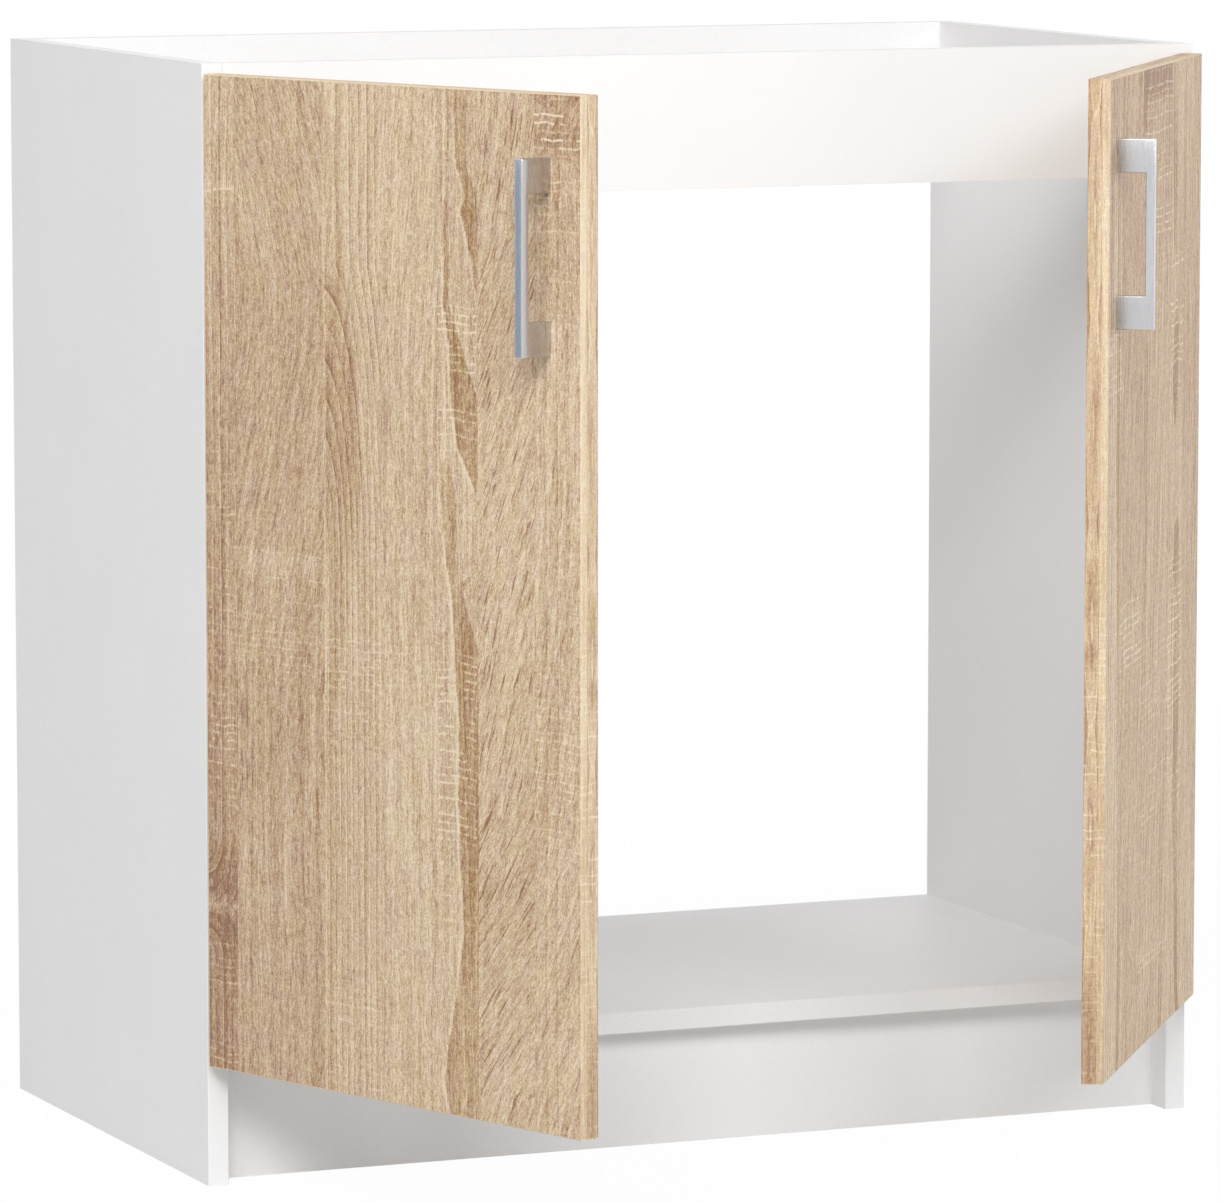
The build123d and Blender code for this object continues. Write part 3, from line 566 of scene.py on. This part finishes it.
def flame_marks(tree, across, down, flames, drift):
    """The dark islands, and the pale rims along their left sides."""
    place = put(tree, "Math", (down, FULL_V), "DIVIDE")
    across = put(tree, "Math", (drift, RAGGED, across), "MULTIPLY_ADD")
    flame, rim = 0.0, 0.0
    for rows in flames:
        rows = [(v / FULL_V, (a / FULL_U, b / FULL_U, dark)) for v, a, b, dark in rows]
        ramp = fill_stops(put(tree, "ValToRGB", {"Fac": place}), rows)
        *sides, depth = put(tree, "SeparateColor", {"Color": ramp}).node.outputs[:3]
        left, right = [put(tree, "Math", (side, FULL_U), "MULTIPLY") for side in sides]
        from_left = put(tree, "Math", (across, left), "SUBTRACT")
        to_right = put(tree, "Math", (right, across), "SUBTRACT")
        starts = put(tree, "MapRange", (from_left, 0.0, 1.2), **SMOOTH)
        ends = put(tree, "MapRange", (to_right, -0.6, 1.2), **SMOOTH)
        body = put(tree, "Math", (starts, ends), "MULTIPLY")
        body = put(tree, "Math", (body, depth), "MULTIPLY")
        flame = put(tree, "Math", (flame, body), "MAXIMUM")
        off_rim = put(tree, "Math", (from_left, 1.4), "ADD")
        off_rim = put(tree, "Math", (off_rim,), "ABSOLUTE")
        edge = put(tree, "MapRange", (off_rim, 2.0, 0.5), **SMOOTH)
        edge = put(tree, "Math", (edge, depth), "MULTIPLY")
        rim = put(tree, "Math", (rim, edge), "MAXIMUM")
    return flame, rim


print(len(LEFT_FLAMES), "flames on the left door,", len(RIGHT_FLAMES), "on the right")

# %% [markdown]
# ## Fibres, pores and saw marks
# Fibres and pores are noise stretched along the grain. The pores are really 0.2 to 0.3 mm
# wide; they are drawn about 1 mm wide so that they show. Saw marks are thin pale lines
# across the grain, a blade's feed apart, broken where the blade skipped.

# %% Fibres, pores and saw marks
SAW_FEED = 5.7


def grain(tree, across, down, size, seed, detail=2.0):
    """Noise with spots about so many millimetres across and down the grain."""
    place = put(tree, "CombineXYZ", (across, down, seed))
    place = put(tree, "VectorMath", (place, (*size, 1.0)), "DIVIDE")
    return put(tree, "TexNoise", {"Vector": place, "Scale": 1.0, "Detail": detail,
                                  "Roughness": 0.6})


def saw_marks(tree, across, down, drift, saw, seed, plank_seed):
    """Pale lines across the grain where the blade caught the wood."""
    bent = put(tree, "Math", (drift, 9.0, down), "MULTIPLY_ADD")
    feed = put(tree, "Math", (bent, SAW_FEED), "DIVIDE")
    part = put(tree, "Math", (feed,), "FRACT")
    part = put(tree, "Math", (part, 0.5), "SUBTRACT")
    part = put(tree, "Math", (part,), "ABSOLUTE")
    line = put(tree, "MapRange", (part, 0.19, 0.08), **SMOOTH)
    number = put(tree, "Math", (feed,), "FLOOR")
    number = put(tree, "Math", (number, seed), "ADD")
    struck = put(tree, "TexWhiteNoise", {"W": number}, noise_dimensions="1D")
    skip = grain(tree, across, number, (7.0, 1 / 3.7), seed)
    patch = grain(tree, across, down, (24.0, 30.0), plank_seed, 1.0)
    for mark, low, high in ((skip, 0.38, 0.5), (struck, 0.15, 0.6), (patch, 0.3, 0.48)):
        shown = put(tree, "MapRange", (mark, low, high), **SMOOTH)
        line = put(tree, "Math", (line, shown), "MULTIPLY")
    return put(tree, "Math", (line, saw), "MULTIPLY")


print("saw marks every", SAW_FEED, "mm")

# %% [markdown]
# ## The whole print
# The edge bands show the same print in a finer relief, with their width taken from the
# door's thickness. The flames are golden brown, yellower than the dark end of the ramp, so
# they turn the hue a little as well.

# %% Oak decor
PRINT_COLOURS = [(0.0, "#E3D0B4"), (0.22, "#D4BD9F"), (0.42, "#C5AA8B"), (0.58, "#B99B7D"),
                 (0.78, "#A68265"), (1.0, "#8A6449")]
BAND_END = 0.7  # bands on the top and bottom edges start this near


def oak(side, part, planks, flames, seed, along_edge=False, shade=0.0):
    """A door's decor, laid on from the door's upper left corner, seen from outside."""
    material, tree = new_material(f"{side} door, sawn oak {part}")
    place = put(tree, "TexCoord", out=3)
    local = put(tree, "Mapping", {"Vector": place, "Location": door_corner[side],
                                  "Rotation": (0, 0, door_turn[side]),
                                  "Scale": (MM, MM, MM)}, vector_type="TEXTURE")
    across, inward, up = put(tree, "SeparateXYZ", {"Vector": local}).node.outputs
    down = put(tree, "Math", (up, -1.0), "MULTIPLY")
    if along_edge:
        # the long edges show the band's width, the top and bottom edges its run
        from_middle = put(tree, "Math", (down, FULL_V / 2), "SUBTRACT")
        from_middle = put(tree, "Math", (from_middle,), "ABSOLUTE")
        end = put(tree, "Math", (from_middle, FULL_V / 2 - BAND_END), "GREATER_THAN")
        down = put(tree, "Mix", {0: end, 2: down, 3: across})
        across = inward
    drift = grain(tree, across, down, (28.0, 110.0), seed)
    drift = put(tree, "Math", (drift, 0.5), "SUBTRACT")
    strip = strip_numbers(tree, across, planks, seed)
    own = strip["seed"]
    tone, saw, lean = down_the_strip(tree, across, down, planks)
    ring = ring_marks(tree, across, down, strip, drift, along_edge)
    flame, rim = flame_marks(tree, across, down, flames, drift)
    sawn = saw_marks(tree, across, down, drift, saw, seed, own)

    # fibres, then strokes and pores that lean with the grain
    leant = put(tree, "Math", (across, lean), "ADD")
    streak = grain(tree, leant, down, (4.5, 150.0), own, 3.0)
    fibre = grain(tree, across, down, (1.3, 45.0), own, 1.0)
    deep = put(tree, "Math", (inward, 0.4, own), "MULTIPLY_ADD")
    stroke = grain(tree, leant, down, (1.4, 6.0), deep)
    fine = grain(tree, across, down, (1.1, 1.6), own, 1.0)
    other = put(tree, "Math", (own, 5.0), "ADD")
    pore = grain(tree, leant, down, (2.2, 26.0), other, 1.0)
    pore = put(tree, "MapRange", (pore, 0.58, 0.7), **SMOOTH)
    pore = put(tree, "Math", (pore, strip["pores"]), "MULTIPLY")

    # darkness of the print: each mark's share, and the noises measured from their middle
    relief = 0.6 if along_edge else 1.12
    # shade is added to the darkness of the whole print; below 0 it is a painted highlight that
    # lightens the whole piece evenly
    dark = put(tree, "Math", (tone, shade), "ADD")
    for mark, middle, share in ((ring, 0.0, 0.75), (streak, 0.5, 0.8), (fibre, 0.5, 0.35),
                                (stroke, 0.5, 1.05 * relief), (fine, 0.5, 0.95 * relief),
                                (pore, 0.0, 0.48), (drift, 0.0, 0.2), (flame, 0.0, 0.34),
                                (rim, 0.0, -0.26), (sawn, 0.0, -0.52)):
        mark = put(tree, "Math", (mark, middle), "SUBTRACT")
        dark = put(tree, "Math", (mark, share, dark), "MULTIPLY_ADD")
    print_colour = fill_stops(put(tree, "ValToRGB", {"Fac": dark}),
                              [(at, linear(code)[:3]) for at, code in PRINT_COLOURS])

    # broad patches where the paper is a little pinker or yellower; a hue of 0.5 changes nothing
    other = put(tree, "Math", (own, 9.0), "ADD")
    tint = grain(tree, across, down, (9.0, 26.0), other)
    pink = 0.498 if along_edge else 0.496
    hue = put(tree, "MapRange", (tint, 0.3, 0.7, pink, pink + 0.009), **SMOOTH)
    hue = put(tree, "Math", (flame, 0.007, hue), "MULTIPLY_ADD")
    strong = put(tree, "MapRange", (tint, 0.3, 0.7, 0.94, 1.04), **SMOOTH)
    strong = put(tree, "Math", (flame, 0.08, strong), "MULTIPLY_ADD")
    colour = put(tree, "HueSaturation", {"Hue": hue, "Saturation": strong,
                                         "Color": print_colour})

    # the emboss: pores sunk, saw marks raised
    height = put(tree, "Math", (fine, 0.4), "MULTIPLY")
    height = put(tree, "Math", (height, pore), "SUBTRACT")
    height = put(tree, "Math", (sawn, 0.5, height), "MULTIPLY_ADD")
    bump = put(tree, "Bump", {"Height": height, "Strength": 0.35, "Distance": 0.12 * MM})
    skin = put(tree, "BsdfPrincipled", {"Base Color": colour, "Roughness": 0.55,
                                        "Normal": bump})
    put(tree, "OutputMaterial", {"Surface": skin})
    return material


oak_face, oak_band = {}, {}
# the left door's edge band gets a shade of -0.13, a painted highlight: the same band as on the
# right door, made lighter to stand in for light falling on it
for side, planks, flames, seed, shade in (("left", LEFT_PLANKS, LEFT_FLAMES, 3.0, -0.13),
                                          ("right", RIGHT_PLANKS, RIGHT_FLAMES, 11.0, 0.0)):
    oak_face[side] = oak(side, "decor", planks, flames, seed)
    oak_band[side] = oak(side, "edge band", EDGE_PLANKS, (), 21.0, True, shade)
    print(side, len(oak_face[side].node_tree.nodes), "nodes in the oak")

# %% [markdown]
# ## Metals
# The handles are aluminium, brushed along their length and clear anodised: a cool grey with
# a soft stretched shine. The hinges are nickel-plated pressed steel, smoother and a little
# warmer. Screws are zinc plated, the cams are raw zinc die casting.

# %% Metals
EVEN, BRUSHED = (0.8, 0.8, 0.8), (0.5, 0.5, 14.0)  # sizes of the marks in mm, in x, y and z


def metal(name, colour, rough, marks_size=EVEN, spread=0.05):
    """A metal whose shine and tone change a little from mark to mark."""
    material, tree = new_material(name)
    place = put(tree, "TexCoord", out=3)
    marks_at = put(tree, "Mapping", {"Vector": place,
                                     "Scale": [1 / (s * MM) for s in marks_size]})
    marks = put(tree, "TexNoise", {"Vector": marks_at, "Scale": 1.0, "Detail": 2.0})
    shine = put(tree, "MapRange", (marks, 0.3, 0.7, rough - spread, rough + spread))
    tone = put(tree, "MapRange", (marks, 0.3, 0.7, 0.96, 1.04))
    tinted = put(tree, "VectorMath", {0: linear(colour)[:3], "Scale": tone}, "SCALE")
    bump = put(tree, "Bump", {"Height": marks, "Strength": 0.1, "Distance": 0.02 * MM})
    skin = put(tree, "BsdfPrincipled", {"Base Color": tinted, "Metallic": 1.0,
                                        "Roughness": shine, "Normal": bump})
    put(tree, "OutputMaterial", {"Surface": skin})
    return material


handle_metal = metal("anodised aluminium, brushed", "#C7C7C9", 0.26, BRUSHED)
hinge_steel = metal("nickel plated steel, pressed", "#CFCBC4", 0.22)
zinc_steel = metal("zinc plated steel", "#C4C8CC", 0.3)
cam_zinc = metal("raw zinc die casting", "#A9ABAD", 0.48, spread=0.08)
print("metals", [m.name for m in (handle_metal, hinge_steel, zinc_steel, cam_zinc)])

# %% [markdown]
# ## Beech and silicone
# The dowels are beech: pinkish brown with fine short flecks along the grain. The bumpers
# are clear silicone, which looks like cloudy water over whatever is behind it.

# %% Beech and silicone
FLECK, HAZE = (6.0, 0.6, 0.6), 2.0  # sizes in mm; the flecks lie along x
beech, tree = new_material("beech, turned")
place = put(tree, "TexCoord", out=3)
fleck_at = put(tree, "Mapping", {"Vector": place, "Scale": [1 / (s * MM) for s in FLECK]})
fleck = put(tree, "TexNoise", {"Vector": fleck_at, "Scale": 1.0, "Detail": 2.0})
wood = put(tree, "Mix", {0: fleck, 6: linear("#D8B48C"), 7: linear("#B98A62")},
           data_type="RGBA", out=2)
skin = put(tree, "BsdfPrincipled", {"Base Color": wood, "Roughness": 0.6})
put(tree, "OutputMaterial", {"Surface": skin})

silicone, tree = new_material("clear silicone")
place = put(tree, "TexCoord", out=3)
haze = put(tree, "TexNoise", {"Vector": place, "Scale": 1 / (HAZE * MM), "Detail": 1.0})
rough = put(tree, "MapRange", {"Value": haze, "To Min": 0.12, "To Max": 0.3})
skin = put(tree, "BsdfPrincipled", {"Base Color": linear("#F4F4F2"), "IOR": 1.41,
                                    "Roughness": rough, "Transmission Weight": 0.9})
put(tree, "OutputMaterial", {"Surface": skin})
print(beech.name, "and", silicone.name)

# %% [markdown]
# ## Finishes on the CAD pieces
# Each CAD piece names the finish it wants in its first material slot, so most of them only
# need that name matched to a material. Doors get the material of their own side, and the
# boards whose edges stay bare get the melamine that shows them.

# %% Assign finishes
by_slot = {"white_board": white_board, "white_edge": white_edge, "handle_metal": handle_metal,
           "hinge_steel": hinge_steel, "zinc_steel": zinc_steel, "cam_zinc": cam_zinc,
           "beech": beech, "clear_bumper": silicone}
slot_of = {row["node"]: row["material_slot"] for row in frame["record"]["subparts"]}
bare_edged = ("side_panel_left", "side_panel_right", "bottom_panel", "plinth_board")
for name, piece in nodes.items():
    side = "left" if name.startswith("left") else "right"
    finish = {**by_slot, "oak_board": oak_face[side], "oak_edge": oak_band[side]}
    if name in bare_edged:
        finish["white_board"] = white_raw
    piece.data.materials.clear()
    piece.data.materials.append(finish[slot_of[name]])
print("finished", len(nodes), "CAD pieces")

# %% [markdown]
# ## Tools for modelling
# Every new piece is modelled at the origin, standing straight, and then set in its place, as
# a maker works at the bench and fits the part later. Four small functions do what a hand
# does again and again: take one piece, pick some of its faces or edges, finish an edit, and
# write the place into the mesh so that the object itself stays at the origin.

# %% Modelling helpers


def only(piece):
    """Selects one piece and nothing else."""
    bpy.ops.object.select_all(action="DESELECT")
    piece.select_set(True)
    bpy.context.view_layer.objects.active = piece


def edit(piece, mode):
    """Opens a piece in edit mode, for faces, edges or vertices, with nothing selected."""
    only(piece)
    bpy.ops.object.mode_set(mode="EDIT")
    bpy.ops.mesh.select_mode(type=mode)
    bpy.ops.mesh.select_all(action="DESELECT")


def pick(piece, kind, test):
    """Selects the faces, edges or verts that pass a test, and says how many they are."""
    bpy.ops.mesh.select_all(action="DESELECT")
    mesh = bmesh.from_edit_mesh(piece.data)
    chosen = [part for part in getattr(mesh, kind) if test(part)]
    for part in chosen:
        part.select_set(True)
    bmesh.update_edit_mesh(piece.data)
    return len(chosen)


def pull(x, y, z):
    """Extrudes what is selected, by millimetres."""
    bpy.ops.mesh.extrude_region_move(
        TRANSFORM_OT_translate={"value": (x * MM, y * MM, z * MM)})


def is_sharp(edge):
    """Whether two faces meet there at more than 40 degrees."""
    return len(edge.link_faces) == 2 and edge.calc_face_angle() > math.radians(40)


def settle(piece, place, facing):
    """Turns a piece's own Z to a direction, moves it, and writes both into its mesh."""
    only(piece)
    turn = Vector(facing).to_track_quat("Z", "Y").to_matrix().to_4x4()
    piece.matrix_world = Matrix.Translation(place) @ turn
    bpy.ops.object.transform_apply(location=True, rotation=True, scale=True)


def copy_of(piece, name):
    """A copy with a mesh of its own."""
    only(piece)
    bpy.ops.object.duplicate(linked=False)
    copy = bpy.context.object
    copy.name = copy.data.name = name
    return copy


def joined(pieces, name):
    """Several copies made one piece, because the CAD counts them as one node."""
    only(pieces[0])
    for piece in pieces[1:]:
        piece.select_set(True)
    bpy.ops.object.join()
    pieces[0].name = pieces[0].data.name = name
    return pieces[0]


def dress(piece, node):
    """Puts a modelled piece in the place of its CAD node, on its body and in its finish."""
    piece.data.materials.clear()
    piece.data.materials.append(by_slot[slot_of[node]])
    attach(piece, body_of(nodes[node])[0])
    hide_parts(node)


door_out = {side: (hinge_point(side, 0, 1, 0) - hinge_point(side, 0, 0, 0)).normalized()
            for side in ("left", "right")}
print("doors face", door_out)

# %% [markdown]
# ## The bow handles
# A square bow handle is bent, or here milled, from one flat bar: two broad feet that stand
# off the door and a thinner grip between them. It starts as one foot. A cut where the grip's
# inner face will be lets only the outer part grow upwards, and the second foot grows back
# from its end, so the whole bow is one closed skin. Its edges are broken by 0.9 mm, which
# is what gives the handle its thin bright outlines. One bow is made, and copied to each door.

# %% Handle
HANDLE_HALF, HANDLE_LEG, HANDLE_REACH = 68.5, 24.5, 27.0
HANDLE_BAR, HANDLE_WIDTH, HANDLE_ARRIS = 6.5, 8.0, 0.9
HANDLE_X, HANDLE_Z = 348.5, 701.0  # its middle, from the side panel and the floor

bpy.ops.object.select_all(action="DESELECT")
bpy.ops.mesh.primitive_cube_add(
    size=1, location=(0, (HANDLE_LEG / 2 - HANDLE_HALF) * MM, HANDLE_REACH / 2 * MM),
    scale=(HANDLE_WIDTH * MM, HANDLE_LEG * MM, HANDLE_REACH * MM))
bow = bpy.context.object
bow.name = bow.data.name = "bow_handle"
bpy.ops.object.transform_apply(location=True, rotation=True, scale=True)
edit(bow, "FACE")
bpy.ops.mesh.select_all(action="SELECT")
grip_inside = (HANDLE_REACH - HANDLE_BAR) * MM
bpy.ops.mesh.bisect(plane_co=(0, 0, grip_inside), plane_no=(0, 0, 1))
pick(bow, "faces", lambda f: f.normal.y > 0.9 and f.calc_center_median().z > grip_inside)
pull(0, 2 * (HANDLE_HALF - HANDLE_LEG), 0)
pull(0, HANDLE_LEG, 0)
upper = (HANDLE_HALF - HANDLE_LEG) * MM
pick(bow, "faces", lambda f: f.normal.z < -0.9 and f.calc_center_median().y > upper)
pull(0, 0, -(HANDLE_REACH - HANDLE_BAR))
bpy.ops.mesh.select_mode(type="EDGE")
soft = pick(bow, "edges", lambda e: is_sharp(e)
            and not all(v.co.z < 0.01 * MM for v in e.verts))
bpy.ops.mesh.bevel(offset=HANDLE_ARRIS * MM, segments=3, affect="EDGES")
bpy.ops.object.mode_set(mode="OBJECT")
bpy.ops.object.shade_smooth_by_angle(angle=math.radians(35))
print(soft, "edges rounded,", len(bow.data.polygons), "faces")
for side in ("left", "right"):
    handle = copy_of(bow, f"{side}_bow_handle")
    settle(handle, hinge_point(side, HANDLE_X, OUTSIDE, HANDLE_Z), door_out[side])
    dress(handle, f"{side}_handle")
bpy.data.objects.remove(bow)

# %% [markdown]
# ## Screws with a cross recess
# Every screw on a unit like this is driven with a cross-head bit, and seen from inside, the
# recess is what tells a screw from a rivet. The cross starts as a small square whose four
# sides are pulled out into arms. Its rim is raised into walls and bridged to a round head,
# whose dome and shank are then pulled out ring by ring.

# %% Cross-head screw


def screw(name, head, height, shank, length, arm):
    """A screw whose seat is at Z 0 and whose head rises along Z.

    Radii of head and shank, height of the head, length below the seat and half width of
    the cross, in millimetres. A grub screw's head is as wide as its shank.
    """
    bpy.ops.object.select_all(action="DESELECT")
    slot = arm * 0.3
    bpy.ops.mesh.primitive_plane_add(size=2 * slot * MM, location=(0, 0, height * 0.25 * MM))
    piece = bpy.context.object
    piece.name = piece.data.name = name
    bpy.ops.object.transform_apply(location=True, rotation=True, scale=True)
    edit(piece, "EDGE")
    for x, y in ((1, 0), (-1, 0), (0, 1), (0, -1)):
        pick(piece, "edges", lambda e: sum(v.co.x * x + v.co.y * y for v in e.verts)
             > 1.9 * slot * MM)
        pull(x * (arm - slot), y * (arm - slot), 0)
    pick(piece, "edges", lambda e: e.is_boundary)
    pull(0, 0, height * 0.65)
    bpy.ops.transform.resize(value=(1.12, 1.12, 1))
    bpy.ops.mesh.primitive_circle_add(vertices=12, radius=head * 0.72 * MM,
                                      location=(0, 0, height * MM))
    bpy.ops.transform.rotate(value=math.radians(15), orient_axis="Z",
                             center_override=(0, 0, 0))
    pick(piece, "edges", lambda e: e.is_boundary or e.is_wire)
    bpy.ops.mesh.bridge_edge_loops()

    def grow(radius, rise):
        """Pulls the outer ring to the next radius and height."""
        mesh = bmesh.from_edit_mesh(piece.data)
        now = max(v.co.xy.length for v in mesh.verts if v.select) / MM
        level = max(v.co.z for v in mesh.verts if v.select) / MM
        pull(0, 0, rise - level)
        bpy.ops.transform.resize(value=(radius / now, radius / now, 1))

    pick(piece, "edges", lambda e: e.is_boundary)
    seat = [(head, 0), (shank, 0)] if head > shank else []
    for radius, rise in [(head * 0.93, height * 0.8), (head, height * 0.35), *seat,
                         (shank, -length * 0.82), (shank * 0.4, -length)]:
        grow(radius, rise)
    bpy.ops.mesh.edge_face_add()
    bpy.ops.mesh.select_all(action="SELECT")
    bpy.ops.mesh.normals_make_consistent(inside=False)
    pick(piece, "edges", lambda e: abs(e.verts[0].co.z - e.verts[1].co.z) < 0.001 * MM
         and (is_sharp(e) or e.is_boundary))
    bpy.ops.transform.edge_crease(value=0.75)
    bpy.ops.object.mode_set(mode="OBJECT")
    rounder = piece.modifiers.new("round", "SUBSURF")
    rounder.levels = rounder.render_levels = 1
    bpy.ops.object.modifier_apply(modifier="round")
    bpy.ops.object.shade_smooth_by_angle(angle=math.radians(40))
    print(name, len(piece.data.polygons), "faces")
    return piece


patterns = {"plate": screw("plate_screw", 4.2, 1.8, 2.48, 13.0, 2.4),
            "clamp": screw("clamp_screw", 3.9, 1.6, 1.98, 7.4, 2.3),
            "adjust": screw("adjusting_screw", 1.98, 1.3, 1.98, 6.1, 1.2),
            "cup": screw("cup_screw", 3.3, 1.2, 1.7, 12.0, 1.9),
            "handle": screw("handle_screw", 4.0, 2.4, 2.0, 24.8, 2.3)}

# %% [markdown]
# ## The screws in their places
# The copies of each kind are turned and set at their places, and those that the CAD holds
# as one node are joined into one piece.

# %% Screws in their places
HINGE_LEVELS = (680.0, 190.0)  # heights of the hinges' middles
PLATE_SCREW, CLAMP_SCREW, ADJUST_SCREW = (2.0, 37.0), (9.0, 49.0), (7.7, 31.0)
CUP_SCREW = (17.5, 1.8)  # from the side panel and from the closed door's back
HANDLE_SCREW_SEAT = 6.2
PLATE_APART, CUP_APART, HANDLE_APART = 16.0, 22.5, 56.25  # from the middle, up and down


def fasten(node, spots):
    """Copies of patterns at (pattern, place, facing) spots, as one piece for one CAD node."""
    copies = []
    for number, (kind, place, facing) in enumerate(spots):
        copies.append(copy_of(patterns[kind], f"{node}_made_{number}"))
        settle(copies[-1], place, facing)
    dress(joined(copies, f"{node}_cross_head"), node)


def on_side(side, off, depth, z):
    """A point this far off the side panel's inner face and behind the front."""
    sign = -1 if side == "left" else 1
    return Vector((sign * (SIDE_INNER - off), FRONT_Y + depth, z)) * MM


for side, into_room in (("left", (1, 0, 0)), ("right", (-1, 0, 0))):
    out_of_door = -door_out[side]
    fasten(f"{side}_plate_screws",
           [("plate", on_side(side, *PLATE_SCREW, z + dz), into_room)
            for z in HINGE_LEVELS for dz in (-PLATE_APART, PLATE_APART)])
    fasten(f"{side}_arm_screws",
           [("clamp", on_side(side, *CLAMP_SCREW, z), into_room) for z in HINGE_LEVELS]
           + [("adjust", on_side(side, *ADJUST_SCREW, z), into_room) for z in HINGE_LEVELS])
    fasten(f"{side}_cup_screws",
           [("cup", hinge_point(side, *CUP_SCREW, z + dz), out_of_door)
            for z in HINGE_LEVELS for dz in (-CUP_APART, CUP_APART)])
    fasten(f"{side}_handle_screws",
           [("handle", hinge_point(side, HANDLE_X, HANDLE_SCREW_SEAT, HANDLE_Z + dz),
             out_of_door) for dz in (-HANDLE_APART, HANDLE_APART)])
for pattern in patterns.values():
    bpy.data.objects.remove(pattern)
print("screws dressed on both sides")

# %% [markdown]
# ## Bumpers
# The soft stops are small domes of clear silicone on a sticky foot. One starts as a low
# disc, whose top is pulled up in rings that close in, so that it lands as a dome. The others
# are its copies.

# %% Bumpers
BUMPER_RADIUS, BUMPER_FOOT = 4.95, 0.9
BUMPER_X, BUMPER_Z = (357.5, 184.0), 791.0

bpy.ops.object.select_all(action="DESELECT")
bpy.ops.mesh.primitive_cylinder_add(
    vertices=20, radius=BUMPER_RADIUS * MM, depth=BUMPER_FOOT * MM,
    location=(0, 0, BUMPER_FOOT / 2 * MM))
dome = bpy.context.object
dome.name = dome.data.name = "bumper"
bpy.ops.object.transform_apply(location=True, rotation=True, scale=True)
edit(dome, "FACE")
pick(dome, "faces", lambda f: f.normal.z > 0.9)
for shrink, rise in ((0.96, 0.55), (0.86, 0.45), (0.66, 0.35), (0.4, 0.18)):
    pull(0, 0, rise)
    bpy.ops.transform.resize(value=(shrink, shrink, 1))
bpy.ops.object.mode_set(mode="OBJECT")
bpy.ops.object.shade_smooth_by_angle(angle=math.radians(50))
for side in ("left", "right"):
    domes = []
    for x in BUMPER_X:
        domes.append(copy_of(dome, f"{side}_bumper_{x:.0f}"))
        settle(domes[-1], hinge_point(side, x, DOOR_GAP, BUMPER_Z), -door_out[side])
    dress(joined(domes, f"{side}_domed_bumpers"), f"{side}_door_bumpers")
bpy.data.objects.remove(dome)
